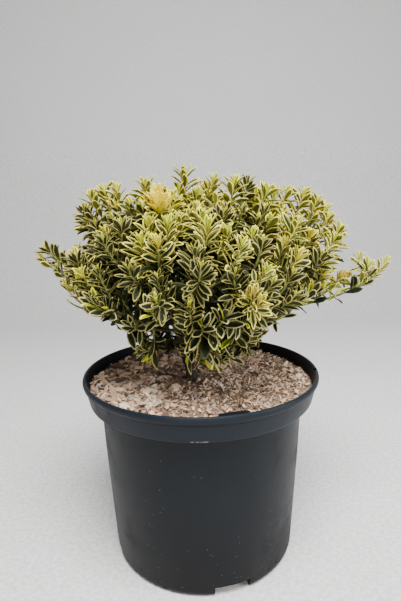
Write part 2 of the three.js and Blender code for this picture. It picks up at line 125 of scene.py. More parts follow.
# Trunk and boughs
FOOT = Vector((-8.5, -5, 166))
FORK = Vector((-15.5, -7, 196))
TRUNK_FOOT_RADIUS = 7.4
TRUNK_RADIUS = 4.4
TRUNK_TAPER = 0.12
ROOT_FLARE_FALL = 7
ROOT_LOBES = 3
ROOT_LOBE = 0.16
MAIN_BOUGH_RADIUS = 3.1
SIDE_BOUGH_SHARE = 0.78
BOUGH_TIP_RADIUS = 1.2
MAIN_START = (0.98, 0.11)
SIDE_START = (0.25, 0.8)
FOLLOWING = 0.4
TWIG_RADIUS = 1.3
TWIG_TIP_RADIUS = 0.7
FINE_TWIG_RADIUS = 1.0
TWIG_START = (0.62, 0.08, 120)
YOUNG_TWIG_FROM = 0.72
# Steps along a limb where its room is taken, and the room round each kind of limb
ROOM_STEP = 4
TWIG_ROOM = 1.0
BOUGH_ROOM = 2.0
TWIG_GAP = 0.8

# Crown
HEART = Vector((-11, -6, 198))
CROWN_CENTRE = Vector((-2, -2, 268))
CROWN_RADII = Vector((124, 108, 84))
CROWN_DEPTH_BELOW = 80
CROWN_LOWEST = -0.95
CROWN_TAPER = 0.68
CROWN_TIPS = 112
FINE_CROWN_TIPS = 420
TIP_ROOM = 16
FINE_TIP_ROOM = 15.5
SPACE_EASE = 0.05
COMPANIONS = 2
COMPANION_AWAY = (7, 5)
COMPANION_BELOW = (4, 9)
COMPANION_LEAST = 325
COMPANION_OUT = 108
INNER_TIPS = 340
INNER_SHARE = (0.2, 0.45)
INNER_TIP_ROOM = 12
TIP_UNEVENNESS = 0.1
LOWEST_LEAF = 186
FRONT_REACH = 119
UNDERSIDE_HEIGHTS = (190, 207, 224, 232, 243, 258, 273, 280, 290)
UNDERSIDE_REACH = (60, 66, 74, 88, 108, 124, 132, 146, 220)
UNDERSIDE_BACK = 1.12
UNDERSIDE_FRONT = 0.72
UNDERSIDE_NARROWING = 0.0024
ROOT_SHARE = 0.42
SHOOT_LIFT = (0.45, 1.3)
LIFT_HEIGHTS = (225, 300)
BEND_SHARE = 0.36
BUD_LENGTH = 7

# Leaves: pairs from the tip down as distance below it, length and opening in degrees
LEAF_PAIRS = (
    (0.0, 8.5, 9), (1.0, 10.5, 18), (2.8, 12.5, 27), (5.1, 14, 34), (7.8, 15, 40), (10.8, 15.8, 44),
    (14.0, 16.3, 47), (17.4, 16.7, 49), (21.0, 17, 51), (24.8, 17.3, 53), (29.0, 17.6, 56), (33.6, 18, 59),
    (38.6, 18, 62), (44.0, 18, 65), (50.0, 18, 68), (56.5, 18, 71), (64.0, 18, 74), (72.0, 18, 77),
)
YOUNG_PAIRS = 2
STEM_GAPS = (
    (Vector((-40, -120, 196)), Vector((-20, -9, 236))),
    (Vector((-30, -120, 180)), Vector((-12, -9, 203))),
)
LOW_ROOM = 2.9
LOW_LARGE = 1.35
LOW_TIP = 262
LOW_SPREAD = 1.4
HIGH_TIP = 305
MID_TIP = 312
BRANCH_LOOK_FROM = 118
HIGH_SPREAD = 0.78
LEAD_SPREAD = 0.66
LEAD_LARGE = 1.08
REVERTED_LARGE = 1.15
REVERTED_CLOSED = 0.75
LEAFY_FROM = (0.05, 0.12)
SPARSE_SPREAD = 1.6
SPARSE_RISE = 0.55
LEAF_ROOM = 1.4
LEAF_ROLL = 0.75
LEAF_WIDTH_SHARE = 0.17
LEAF_STATIONS = (0.12, 0.38, 0.66, 0.9)
LEAF_SHAPES = 9

# Masses of foliage: a lead tip and a second tip each, as in the solids
MASSES = (
    dict(name="top", main=True, tips=((-11, 2, 364), (11, 12, 352))),
    dict(name="top_left", tips=((-44, -20, 353), (-57, -34, 336))),
    dict(name="top_right", tips=((32, -30, 353), (52, -5, 344))),
    dict(name="upper_left", main=True, tips=((-86, 5, 350), (-106, 15, 333))),
    dict(name="upper_right", main=True, tips=((102, 15, 344), (121, 12, 329))),
    dict(name="left_arm", lift=0.25, tips=((-143, 0, 297), (-131, -6, 282), (-124, -14, 266))),
    dict(name="right", tips=((130, -8, 310), (112, -35, 294), (122, -4, 277))),
    dict(name="right_spray", main=True, sparse=True, lift=0.9,
         tips=((190, 26, 277), (144, 20, 264))),
    dict(name="front_left", tips=((-43, -80, 309), (-52, -90, 289))),
    dict(name="front_centre", main=True, lift=0.35,
         tips=((-1, -112, 301), (8, -88, 319), (32, -102, 307))),
    dict(name="front_right", lift=0.35, tips=((52, -96, 286), (42, -104, 270))),
    dict(name="right_front", tips=((80, -55, 319), (79, -70, 294))),
    dict(name="front_low", lift=0.35,
         tips=((4, -88, 242), (10, -104, 262), (7, -61, 212), (33, -56, 209))),
    dict(name="front_left_low", tips=((-68, -64, 255), (-58, -52, 232), (-50, -38, 208))),
    dict(name="front_right_low", tips=((56, -70, 248), (56, -46, 232))),
    dict(name="left_low", tips=((-95, -20, 246), (-74, 14, 240))),
    dict(name="right_low", tips=((83, -22, 246), (70, 8, 232))),
    dict(name="back_left", main=True, tips=((-82, 72, 318), (-108, 46, 300))),
    dict(name="back_upper_left", tips=((-34, 60, 350), (-52, 42, 344))),
    dict(name="back_upper_right", tips=((62, 40, 347), (24, 62, 342))),
    dict(name="back_right", main=True, tips=((78, 78, 322), (112, 50, 308))),
    dict(name="back_centre", tips=((-4, 108, 300), (14, 92, 322))),
    dict(name="back_left_low", tips=((-70, 76, 254), (-46, 76, 236))),
    dict(name="back_right_low", tips=((54, 88, 254), (70, 60, 240))),
)

# Shoots whose look has a place on the plant
PALE_SHOOT = Vector((-31, -54, 343))
AMBER_SHOOTS = vectors(
    (42, -104, 270), (10, -104, 262), (144, 20, 264), (-124, -14, 266), (70, 60, 240), (-34, 60, 350),
)
BRANCH_SHOOTS = vectors(
    (124, 12, 254), (141, 17, 261), (160, 21, 283), (172, 23, 268),
    (167, 14, 275), (151, 24, 262), (159, 20, 253), (137, 15, 247),
)
SHOULDER_SHOOTS = vectors(
    (72, 0, 344), (62, -12, 346), (44, -22, 353), (84, 8, 345), (-97, 2, 345),
    (-104, -6, 333), (-72, -6, 350), (16, -6, 357), (112, 6, 338), (122, -2, 322),
)
SHADE_SHOOTS = vectors(
    (-22, -28, 266), (-24, 6, 262), (-23, -50, 270), (-30, -10, 254), (-27, 30, 222), (10, 20, 232),
    (10, 0, 242), (14, 32, 237), (8, -22, 246), (-34, 12, 211), (-30, 30, 207), (-44, 4, 212),
)
LIGHT_SHOOTS = vectors((32, -102, 307), (52, -96, 286), (8, -88, 319))
AMBER_REACH = 9
PALE_REACH = 9
# Painted shade: darker looks dealt more often lower down, to the sides and far below a shoot's tip
SIDE_FROM = 50
SHADE_HEIGHTS = (350, 250)
LEFT_SHADE_TOP = 335
SIDE_SHADE = {"right": 0.2, "left": 0.35, "middle": 0.06}
DARK_SHARE = 0.8
LOW_DARK_SHARE = 0.96
LOW_LOOK_SHARE = 0.9
SHADE_DEPTHS = (24, 34, 42)
AMBER_FROM = 0.97
PALE_FROM = 0.74
MID_BRIGHT_FROM = 0.7

# Leaf colours by look of the spray: margin, band and centre. The looks for middle height, shade, low and
# inner leaves are darker copies of the bright one, as painted shade.
LOOKS = {
    "bright": ((0.92, 0.81, 0.125), (0.155, 0.175, 0.030), (0.017, 0.029, 0.007)),
    "pale": ((0.94, 0.84, 0.165), (0.27, 0.275, 0.06), (0.034, 0.050, 0.013)),
    "mid": ((0.78, 0.68, 0.12), (0.084, 0.096, 0.020), (0.010, 0.017, 0.005)),
    "young": ((0.93, 0.90, 0.06), (0.48, 0.55, 0.03), (0.14, 0.20, 0.013)),
    "gold": ((0.95, 0.84, 0.07), (0.55, 0.50, 0.035), (0.15, 0.165, 0.014)),
    "amber": ((0.78, 0.60, 0.10), (0.33, 0.26, 0.03), (0.06, 0.065, 0.012)),
    "shade": ((0.42, 0.375, 0.10), (0.040, 0.048, 0.012), (0.007, 0.012, 0.004)),
    "low": ((0.50, 0.455, 0.16), (0.034, 0.042, 0.014), (0.008, 0.013, 0.005)),
    "inner": ((0.045, 0.048, 0.010), (0.013, 0.018, 0.004), (0.005, 0.008, 0.002)),
    "reverted": ((0.92, 0.76, 0.035), (0.84, 0.68, 0.025), (0.76, 0.59, 0.02)),
}
LOOK_NAMES = tuple(LOOKS)
ZONE_NAMES = ("margin", "band", "centre")
SOCKETS = {float: "Float", int: "Int", tuple: "Color"}


# Plain helpers

def seeded_run(seed):
    """Even random numbers from 0 to 1, the same each time."""
    state = seed

    def step():
        nonlocal state
        state = (state * 48271) % 2147483647
        return state / 2147483647

    return step


def piece_of(name, mesh):
    """A new object that shows a mesh."""
    piece = bpy.data.objects.new(name, mesh)
    bpy.context.scene.collection.objects.link(piece)
    return piece


def worked(mesh, work):
    """A mesh after some work on it as a loose shell."""
    shell = bmesh.new()
    shell.from_mesh(mesh)
    work(shell)
    shell.to_mesh(mesh)
    shell.free()
    return mesh


def face_outwards(shell):
    bmesh.ops.recalc_face_normals(shell, faces=shell.faces)


def close_up(shell):
    """Corners that lie together become one, and the faces turn outwards."""
    bmesh.ops.remove_doubles(shell, verts=shell.verts, dist=1e-6)
    face_outwards(shell)


def mesh_of(name, points, faces, materials=()):
    """A mesh from points in millimetres, with its faces turned outwards."""
    mesh = bpy.data.meshes.new(name)
    mesh.from_pydata([tuple(MM * c for c in point) for point in points], [], faces)
    for material in materials:
        mesh.materials.append(material)
    return worked(mesh, close_up)


def evaluated_mesh(item, name):
    """The plain mesh that an object's modifiers make."""
    depsgraph = bpy.context.evaluated_depsgraph_get()
    mesh = bpy.data.meshes.new_from_object(item.evaluated_get(depsgraph), depsgraph=depsgraph)
    mesh.name = name
    return mesh


def smooth(mesh, angle):
    """Smooth shading, with edges sharper than an angle in degrees kept crisp."""
    mesh.shade_smooth()
    mesh.set_sharp_from_angle(angle=math.radians(angle))


def add_node(tree, kind, inputs=None, **settings):
    """A node with its settings, and its inputs set to values or joined to sockets."""
    node = tree.nodes.new(kind)
    for name, value in settings.items():
        setattr(node, name, value)
    for key, value in (inputs or {}).items():
        if isinstance(value, bpy.types.NodeSocket):
            tree.links.new(value, node.inputs[key])
        else:
            node.inputs[key].default_value = value
    return node


def new_group(name, kind, inputs, outputs):
    """A node group with named sockets, each input by its default value or else its kind of socket.

    Returns the group with what it is given and its results.
    """
    tree = bpy.data.node_groups.new(name, kind)
    for label, value in inputs.items():
        socket = SOCKETS.get(type(value), value)
        made = tree.interface.new_socket(name=label, in_out="INPUT", socket_type=f"NodeSocket{socket}")
        if socket != value:
            made.default_value = value
    for label, socket in outputs.items():
        tree.interface.new_socket(name=label, in_out="OUTPUT", socket_type=f"NodeSocket{socket}")
    return tree, tree.nodes.new("NodeGroupInput").outputs, tree.nodes.new("NodeGroupOutput").inputs


def maths(tree, operation, first, second=0.0, clamp=False):
    """Result of a sum on one or two values or sockets."""
    inputs = {0: first, 1: second}
    return add_node(tree, "ShaderNodeMath", inputs, operation=operation, use_clamp=clamp).outputs[0]


def times(tree, first, second):
    return maths(tree, "MULTIPLY", first, second)


def plus(tree, first, second, clamp=False):
    return maths(tree, "ADD", first, second, clamp)


def minus(tree, first, second):
    return maths(tree, "SUBTRACT", first, second)


def vector_maths(tree, operation, first, second):
    inputs = {0: first, 1: second}
    return add_node(tree, "ShaderNodeVectorMath", inputs, operation=operation)


def object_place(tree):
    return tree.nodes.new("ShaderNodeTexCoord").outputs["Object"]


def height_of(tree, place):
    return add_node(tree, "ShaderNodeSeparateXYZ", {0: place}).outputs["Z"]


def noise_on(tree, place, scale, detail=3.0, roughness=0.55, distortion=0.0):
    inputs = {"Vector": place, "Scale": scale, "Detail": detail, "Roughness": roughness,
              "Distortion": distortion}
    return add_node(tree, "ShaderNodeTexNoise", inputs).outputs["Fac"]


def ramp(tree, value, low, high, start=0.0, end=1.0):
    """A value stretched from low..high to start..end, and held there."""
    inputs = {"Value": value, "From Min": low, "From Max": high, "To Min": start, "To Max": end}
    return add_node(tree, "ShaderNodeMapRange", inputs, interpolation_type="SMOOTHSTEP").outputs[0]


def mix_colour(tree, share, first, second, blend="MIX"):
    """Two colours mixed by a share."""
    node = add_node(tree, "ShaderNodeMix", {0: share}, data_type="RGBA", blend_type=blend)
    for slot, colour in ((6, first), (7, second)):
        if isinstance(colour, bpy.types.NodeSocket):
            tree.links.new(colour, node.inputs[slot])
        else:
            node.inputs[slot].default_value = (*colour[:3], 1)
    return node.outputs[2]


# Shader groups shared by the finishes

def make_mottle():
    """A base colour broken up by two sizes of noise, with a height for relief."""
    tree, given, result = new_group("mottle", "ShaderNodeTree", {
        "Colour": (0.5, 0.5, 0.5, 1),
        "Spot colour": (0.4, 0.4, 0.4, 1),
        "Spot scale": 300.0,
        "Spot amount": 0.5,
        "Grain scale": 1500.0,
    }, {"Colour": "Color", "Fleck": "Float", "Height": "Float"})
    place = object_place(tree)
    spots = noise_on(tree, place, given["Spot scale"], 3.0)
    grain = noise_on(tree, place, given["Grain scale"], 2.0)
    share = times(tree, ramp(tree, spots, 0.42, 0.66), given["Spot amount"])
    colour = mix_colour(tree, share, given["Colour"], given["Spot colour"])
    shade = ramp(tree, grain, 0.3, 0.7, 0.86, 1.12)
    shaded = vector_maths(tree, "MULTIPLY", colour, shade)
    height = plus(tree, times(tree, spots, 0.5), times(tree, grain, 0.5))
    tree.links.new(shaded.outputs[0], result["Colour"])
    tree.links.new(spots, result["Fleck"])
    tree.links.new(height, result["Height"])
    return tree


def make_dust():
    """Pale specks, a soft bloom of dust and soil that clings near a low edge."""
    tree, given, result = new_group("dust", "ShaderNodeTree", {
        "Speck scale": 230.0,
        "Speck size": 0.075,
        "Bloom scale": 18.0,
        "Soil top": 0.012,
    }, {"Specks": "Float", "Bloom": "Float", "Soil": "Float"})
    place = object_place(tree)
    cells = add_node(tree, "ShaderNodeTexVoronoi",
                     {"Vector": place, "Scale": given["Speck scale"]})
    height = height_of(tree, place)
    rare = minus(tree, noise_on(tree, place, 60.0, 2.0), times(tree, height, 1.6))
    rare = ramp(tree, rare, 0.36, 0.44)
    near = add_node(tree, "ShaderNodeMath",
                    {0: cells.outputs["Distance"], 1: given["Speck size"]},
                    operation="LESS_THAN").outputs[0]
    bloom = ramp(tree, noise_on(tree, place, given["Bloom scale"], 5.0, 0.65), 0.40, 0.72)
    uneven = times(tree, noise_on(tree, place, 90.0, 5.0, 0.7), given["Soil top"])
    low = ramp(tree, minus(tree, height, uneven), 0.0, given["Soil top"], 1.0, 0.0)
    clumps = ramp(tree, noise_on(tree, place, 330.0, 3.0, 0.6), 0.56, 0.62)
    tree.links.new(times(tree, near, rare), result["Specks"])
    tree.links.new(bloom, result["Bloom"])
    tree.links.new(times(tree, low, clumps), result["Soil"])
    return tree


def make_height_band():
    """A mask between two heights, soft at both ends."""
    tree, given, result = new_group("height_band", "ShaderNodeTree", {
        "Low": 0.15,
        "High": 0.18,
        "Soft": 0.0008,
    }, {"Mask": "Float"})
    place = object_place(tree)
    height = height_of(tree, place)
    soft = given["Soft"]
    rise = maths(tree, "DIVIDE", minus(tree, height, given["Low"]), soft, True)
    fall = maths(tree, "DIVIDE", minus(tree, given["High"], height), soft, True)
    tree.links.new(times(tree, rise, fall), result["Mask"])
    return tree


def make_edge_wear():
    """Where a sharp edge turns, worn unevenly."""
    tree, given, result = new_group("edge_wear", "ShaderNodeTree", {
        "Width": 0.0008,
        "Patch scale": 120.0,
    }, {"Wear": "Float"})
    rounded = add_node(tree, "ShaderNodeBevel", {"Radius": given["Width"]}, samples=4)
    flat = tree.nodes.new("ShaderNodeNewGeometry").outputs["Normal"]
    turn = vector_maths(tree, "DOT_PRODUCT", rounded.outputs[0], flat).outputs["Value"]
    place = object_place(tree)
    patch = ramp(tree, noise_on(tree, place, given["Patch scale"], 4.0), 0.35, 0.65)
    edge = ramp(tree, turn, 0.90, 0.995, 1.0, 0.0)
    tree.links.new(times(tree, edge, patch), result["Wear"])
    return tree


def make_bark_grain():
    """Long ridges and small pale pores that follow the height."""
    tree, given, result = new_group("bark_grain", "ShaderNodeTree", {
        "Ridge scale": 600.0,
        "Stretch": 0.22,
        "Pore scale": 420.0,
    }, {"Ridge": "Float", "Pores": "Float", "Height": "Float"})
    place = object_place(tree)
    stretch = add_node(tree, "ShaderNodeCombineXYZ", {0: 1.0, 1: 1.0, 2: given["Stretch"]})
    drawn = vector_maths(tree, "MULTIPLY", place, stretch.outputs[0]).outputs[0]
    ridge = noise_on(tree, drawn, given["Ridge scale"], 4.0, 0.65, 0.4)
    cells = add_node(tree, "ShaderNodeTexVoronoi",
                     {"Vector": place, "Scale": given["Pore scale"]})
    pores = ramp(tree, cells.outputs["Distance"], 0.12, 0.24, 1.0, 0.0)
    height = plus(tree, ridge, times(tree, pores, 0.35))
    tree.links.new(ridge, result["Ridge"])
    tree.links.new(pores, result["Pores"])
    tree.links.new(height, result["Height"])
    return tree


MOTTLE = make_mottle()
DUST = make_dust()
EDGE_WEAR = make_edge_wear()
HEIGHT_BAND = make_height_band()
BARK_GRAIN = make_bark_grain()


# Finishes

def new_finish(name, **even):
    """A material with its shader; even values go on the shader's own sockets."""
    material = bpy.data.materials.new(name)
    material.use_nodes = True
    tree = material.node_tree
    shader = tree.nodes["Principled BSDF"]
    for label, value in even.items():
        shader.inputs[label.replace("_", " ")].default_value = value
    return material, tree, shader


def place_group(tree, group, **values):
    node = add_node(tree, "ShaderNodeGroup", node_tree=group)
    for label, value in values.items():
        socket = node.inputs[label.replace("_", " ")]
        socket.default_value = (*value, 1) if isinstance(value, tuple) else value
    return node


def relief(tree, shader, height, strength, distance):
    """Bump from a height on the shader."""
    inputs = {"Strength": strength, "Distance": distance, "Height": height}
    bump = add_node(tree, "ShaderNodeBump", inputs)
    tree.links.new(bump.outputs[0], shader.inputs["Normal"])


def mottled_finish(name, colour, spot, spot_scale, spot_amount, grain_scale, rough, bump, shine=0.3):
    """A finish of one plain colour, broken up finely, with matching gloss and relief."""
    material, tree, shader = new_finish(name, Specular_IOR_Level=shine)
    surface = place_group(tree, MOTTLE, Colour=colour, Spot_colour=spot, Spot_scale=spot_scale,
                          Spot_amount=spot_amount, Grain_scale=grain_scale)
    tree.links.new(surface.outputs["Colour"], shader.inputs["Base Color"])
    gloss = ramp(tree, surface.outputs["Fleck"], 0.3, 0.7, rough[0], rough[1])
    tree.links.new(gloss, shader.inputs["Roughness"])
    relief(tree, shader, surface.outputs["Height"], bump[0], bump[1])
    return material


# Low end, high end and softness of the bands on the pot: collar with its painted sheen, painted shadow line
# under the lip, scuff and foot
POT_BANDS = (
    (MM * COLLAR_HEIGHT, MM * (POT_HEIGHT + 1), 0.0008),
    (MM * (POT_HEIGHT - 8.6), MM * (POT_HEIGHT - 5.6), 0.0008),
    (MM * (COLLAR_HEIGHT - 0.3), MM * (COLLAR_HEIGHT + 2), 0.0008),
    (-1.0, 0.09, 0.07),
)


def pot_finish(name, colour, collar_sheen_colour, worn, dust_share):
    """Moulded plastic with a fine skin, pale specks, dust, worn edges and soil at the foot, a painted
    bluish sheen on the collar, a painted shadow line under the lip, and the body darker towards the foot.
    """
    material, tree, shader = new_finish(name, Specular_IOR_Level=0.13)
    dust = place_group(tree, DUST)
    edges = place_group(tree, EDGE_WEAR)
    place = object_place(tree)
    skin = noise_on(tree, place, 2600.0, 2.0)
    bands = [place_group(tree, HEIGHT_BAND, Low=low, High=high, Soft=soft).outputs["Mask"]
             for low, high, soft in POT_BANDS]
    collar_sheen, painted_lip_shadow, scuff, foot = bands
    across = add_node(tree, "ShaderNodeSeparateXYZ", {0: place}).outputs["X"]
    marks = maths(tree, "LESS_THAN", maths(tree, "ABSOLUTE", plus(tree, across, 0.002)), 0.007)
    marks = times(tree, marks, ramp(tree, noise_on(tree, place, 900.0, 3.0), 0.45, 0.6))
    # Painted sheen: the collar band tinted lighter and bluer than the body
    tint = mix_colour(tree, collar_sheen, colour, collar_sheen_colour)
    for mask, share, over in (
            # the body darker towards the foot
            (foot, 0.8, (0.0036, 0.0034, 0.0042)),
            (dust.outputs["Bloom"], dust_share, worn),
            # Painted shadow: a near-black line under the lip's overhang
            (painted_lip_shadow, 0.75, (0.001, 0.0015, 0.002)),
            (times(tree, marks, scuff), 0.7, (0.22, 0.23, 0.24)),
            (edges.outputs["Wear"], 0.5, worn),
            (dust.outputs["Specks"], 0.5, (0.25, 0.26, 0.25)),
            (dust.outputs["Soil"], 0.7, (0.012, 0.009, 0.008))):
        tint = mix_colour(tree, times(tree, mask, share), tint, over)
    tree.links.new(tint, shader.inputs["Base Color"])
    rough = ramp(tree, dust.outputs["Bloom"], 0.0, 1.0, 0.44, 0.60)
    rough = plus(tree, rough, times(tree, dust.outputs["Soil"], 0.3), clamp=True)
    tree.links.new(rough, shader.inputs["Roughness"])
    height = plus(tree, times(tree, skin, 0.2), dust.outputs["Soil"])
    relief(tree, shader, height, 0.35, 0.0004)
    return material


def bark_finish(name, dark, light, pore):
    material, tree, shader = new_finish(name, Specular_IOR_Level=0.3)
    grain = place_group(tree, BARK_GRAIN)
    tint = mix_colour(tree, ramp(tree, grain.outputs["Ridge"], 0.34, 0.68), dark, light)
    tint = mix_colour(tree, times(tree, grain.outputs["Pores"], 0.45), tint, pore)
    tree.links.new(tint, shader.inputs["Base Color"])
    tree.links.new(ramp(tree, grain.outputs["Ridge"], 0.3, 0.7, 0.82, 0.62), shader.inputs["Roughness"])
    relief(tree, shader, grain.outputs["Height"], 0.7, 0.0005)
    return material


def leaf_finish(look, zone):
    """Leathery leaf skin of one plain colour for a look and a zone of the blade."""
    colour = LOOKS[look][zone]
    spot = tuple(0.7 * c for c in colour)
    return mottled_finish(f"leaf_{look}_{ZONE_NAMES[zone]}", colour, spot, 330.0,
                          0.7 if zone else 0.35, 1700.0, (0.5, 0.64), (0.22, 0.0002), 0.18)


# The second colour is the collar's painted bluish sheen
POT_OUTSIDE = pot_finish("charcoal_plastic", (0.0062, 0.0082, 0.0104), (0.0078, 0.0114, 0.0166),
                         (0.036, 0.042, 0.048), 0.10)
# Painted shade: a darker copy of the plastic for the pot's inner wall and the ledge inside the rim
POT_INSIDE_PAINTED_SHADE = pot_finish("charcoal_plastic_inside", (0.004, 0.0055, 0.0075), (0.004, 0.0055, 0.0075),
                        (0.02, 0.021, 0.022), 0.2)
MIX_FINISH = mottled_finish("damp_potting_mix", (0.21, 0.135, 0.09), (0.38, 0.26, 0.18), 420.0, 0.8,
                            1500.0, (0.85, 0.95), (0.8, 0.0012))
CHIP_TONES = (
    ("pale_chip", (0.84, 0.67, 0.52), (0.58, 0.42, 0.30)),
    ("tan_chip", (0.72, 0.53, 0.385), (0.46, 0.315, 0.215)),
    ("orange_chip", (0.72, 0.475, 0.315), (0.48, 0.295, 0.18)),
    ("fawn_chip", (0.60, 0.44, 0.315), (0.37, 0.26, 0.175)),
    ("grey_chip", (0.60, 0.52, 0.44), (0.37, 0.315, 0.265)),
    ("brown_chip", (0.38, 0.255, 0.175), (0.21, 0.135, 0.09)),
    ("dark_chip", (0.14, 0.088, 0.057), (0.07, 0.043, 0.028)),
)
CHIP_FROM = (-1.0, 0.14, 0.36, 0.52, 0.68, 0.80, 0.95)
CHIP_FINISHES = [mottled_finish(name, colour, spot, 520.0, 0.8, 2300.0, (0.78, 0.92), (0.5, 0.0005))
                 for name, colour, spot in CHIP_TONES]
BARK_FINISH = bark_finish("brown_bark", (0.014, 0.009, 0.006), (0.052, 0.032, 0.022), (0.13, 0.09, 0.065))
TWIG_FINISH = bark_finish("olive_twig", (0.070, 0.080, 0.022), (0.15, 0.155, 0.045), (0.24, 0.22, 0.10))
YOUNG_TWIG_FINISH = bark_finish("green_twig", (0.17, 0.20, 0.040), (0.27, 0.29, 0.07), (0.36, 0.36, 0.14))
LEAF_FINISHES = [leaf_finish(look, zone) for look in LOOK_NAMES for zone in range(len(ZONE_NAMES))]


# Curves of the limbs

class Limb:
    """A Bezier curve, evenly spaced by length, with its radius by share of the way."""

    STEPS = 48

    def __init__(self, controls, radius):
        self.controls = [Vector(point) for point in controls]
        self.radius = radius
        points = [self._bezier(i / self.STEPS) for i in range(self.STEPS + 1)]
        self._reached = [0.0]
        for here, there in zip(points, points[1:]):
            self._reached.append(self._reached[-1] + (there - here).length)
        self.length = self._reached[-1]

    def _bezier(self, time):
        points = self.controls
        while len(points) > 1:
            points = [a.lerp(b, time) for a, b in zip(points, points[1:])]
        return points[0]

    def _time(self, share):
        grid = np.linspace(0, 1, self.STEPS + 1)
        return float(np.interp(share * self.length, self._reached, grid))

    def point(self, share):
        return self._bezier(self._time(share))

    def way(self, share):
        time = self._time(share)
        before, after = max(time - 0.01, 0), min(time + 0.01, 1)
        return (self._bezier(after) - self._bezier(before)).normalized()


def mix(start, end, share):
    return start + (end - start) * share


def ramp_share(value, start, end):
    """How far a value is from a start to an end, held between 0 and 1."""
    return min(1, max(0, (value - start) / (end - start)))


def trunk_limb():
    """The leaning stem, wider at its foot."""
    lean = (FORK - FOOT) * 0.4

    def radius(share):
        flare = math.exp(-share * ROOT_FLARE_FALL) * (TRUNK_FOOT_RADIUS - TRUNK_RADIUS)
        return TRUNK_RADIUS * (1 - TRUNK_TAPER * share) + flare

    first = FOOT + Vector((0.4 * lean.x, 0.4 * lean.y, lean.z))
    return Limb((FOOT, first, FORK - lean, FORK), radius)


def twig_limb(start, tip, lift, thick):
    """The twig towards a rosette tip, which stands a bud's length past the twig's end."""
    direction = ((tip - HEART).normalized() + UP * lift).normalized()
    end = tip - direction * BUD_LENGTH
    bend = end - direction * (BEND_SHARE * (end - start).length)
    return Limb((start, bend, end), lambda share: mix(thick, TWIG_TIP_RADIUS, share))


def bough_limb(mass, parent, leave):
    """A tapering bough from its parent limb to a mass's root."""
    start = parent.point(leave)
    end = mass["root"]
    end_way = mass["lead"].way(0)
    start_way = ((end - start).normalized() + parent.way(leave) * FOLLOWING).normalized()
    third = (end - start).length / 3
    thick = MAIN_BOUGH_RADIUS if mass.get("main") else SIDE_BOUGH_SHARE * parent.radius(leave)
    return Limb((start, start + start_way * third, end - end_way * third, end),
                lambda share: mix(thick, BOUGH_TIP_RADIUS, share))


# The crown's plan

def lift_at(tip):
    """How much a shoot turns up to the light: more the higher it stands."""
    return mix(*SHOOT_LIFT, ramp_share(tip.z, *LIFT_HEIGHTS))


def lay_out(given):
    """A mass with its axis, the root where its bough ends, and its lead twig."""
    mass = dict(given)
    tip, *tips = [Vector(place) for place in given["tips"]]
    reach = tip - HEART
    mass["tip"] = tip
    mass["tips"] = tips
    mass["lift"] = given.get("lift", lift_at(tip))
    mass["root"] = HEART + reach * ROOT_SHARE
    mass["lead"] = twig_limb(mass["root"], tip, mass["lift"], TWIG_RADIUS)
    mass["axis"] = reach.normalized()
    return mass


def in_space(point, mass, masses):
    """Whether the mass's axis is the nearest one to a point, seen from the heart."""
    if point.z < LOWEST_LEAF:
        return False
    ray = (point - HEART).normalized()
    own = ray.dot(mass["axis"])
    return all(ray.dot(other["axis"]) <= own + SPACE_EASE for other in masses)


def crown_point(order):
    """Evenly spread points on the crown's surface, domed above and tapering below."""
    height = 1 - (1 - CROWN_LOWEST) * ((order * 0.7548776662466927) % 1)
    bearing = 2 * math.pi * ((order * 0.5698402909980532) % 1)
    level = math.sqrt(1 - height * height) if height > 0 else 1 + CROWN_TAPER * height
    tall = CROWN_RADII.z if height > 0 else CROWN_DEPTH_BELOW
    reach = (CROWN_RADII.x * level * math.cos(bearing), CROWN_RADII.y * level * math.sin(bearing),
             tall * height)
    return CROWN_CENTRE + Vector(reach)


def companions_of(tip, random):
    """Tips of the short shoots that stand round a tip and make a tuft of it."""
    way = ((tip - HEART).normalized() + UP * lift_at(tip)).normalized()
    level, square = side_ways(way)
    turn = 2 * math.pi * random()
    tips = []
    for order in range(COMPANIONS):
        angle = turn + 2 * math.pi * (order + 0.3 * random()) / COMPANIONS
        out = way_round(level, square, angle)
        away = mix(*COMPANION_AWAY, random())
        tips.append(tip + out * away - way * mix(*COMPANION_BELOW, random()))
    return tips


def owner_of(point, masses):
    """The mass whose axis is the nearest one to a point."""
    ray = point - HEART
    return max(masses, key=lambda mass: ray.dot(mass["axis"]))


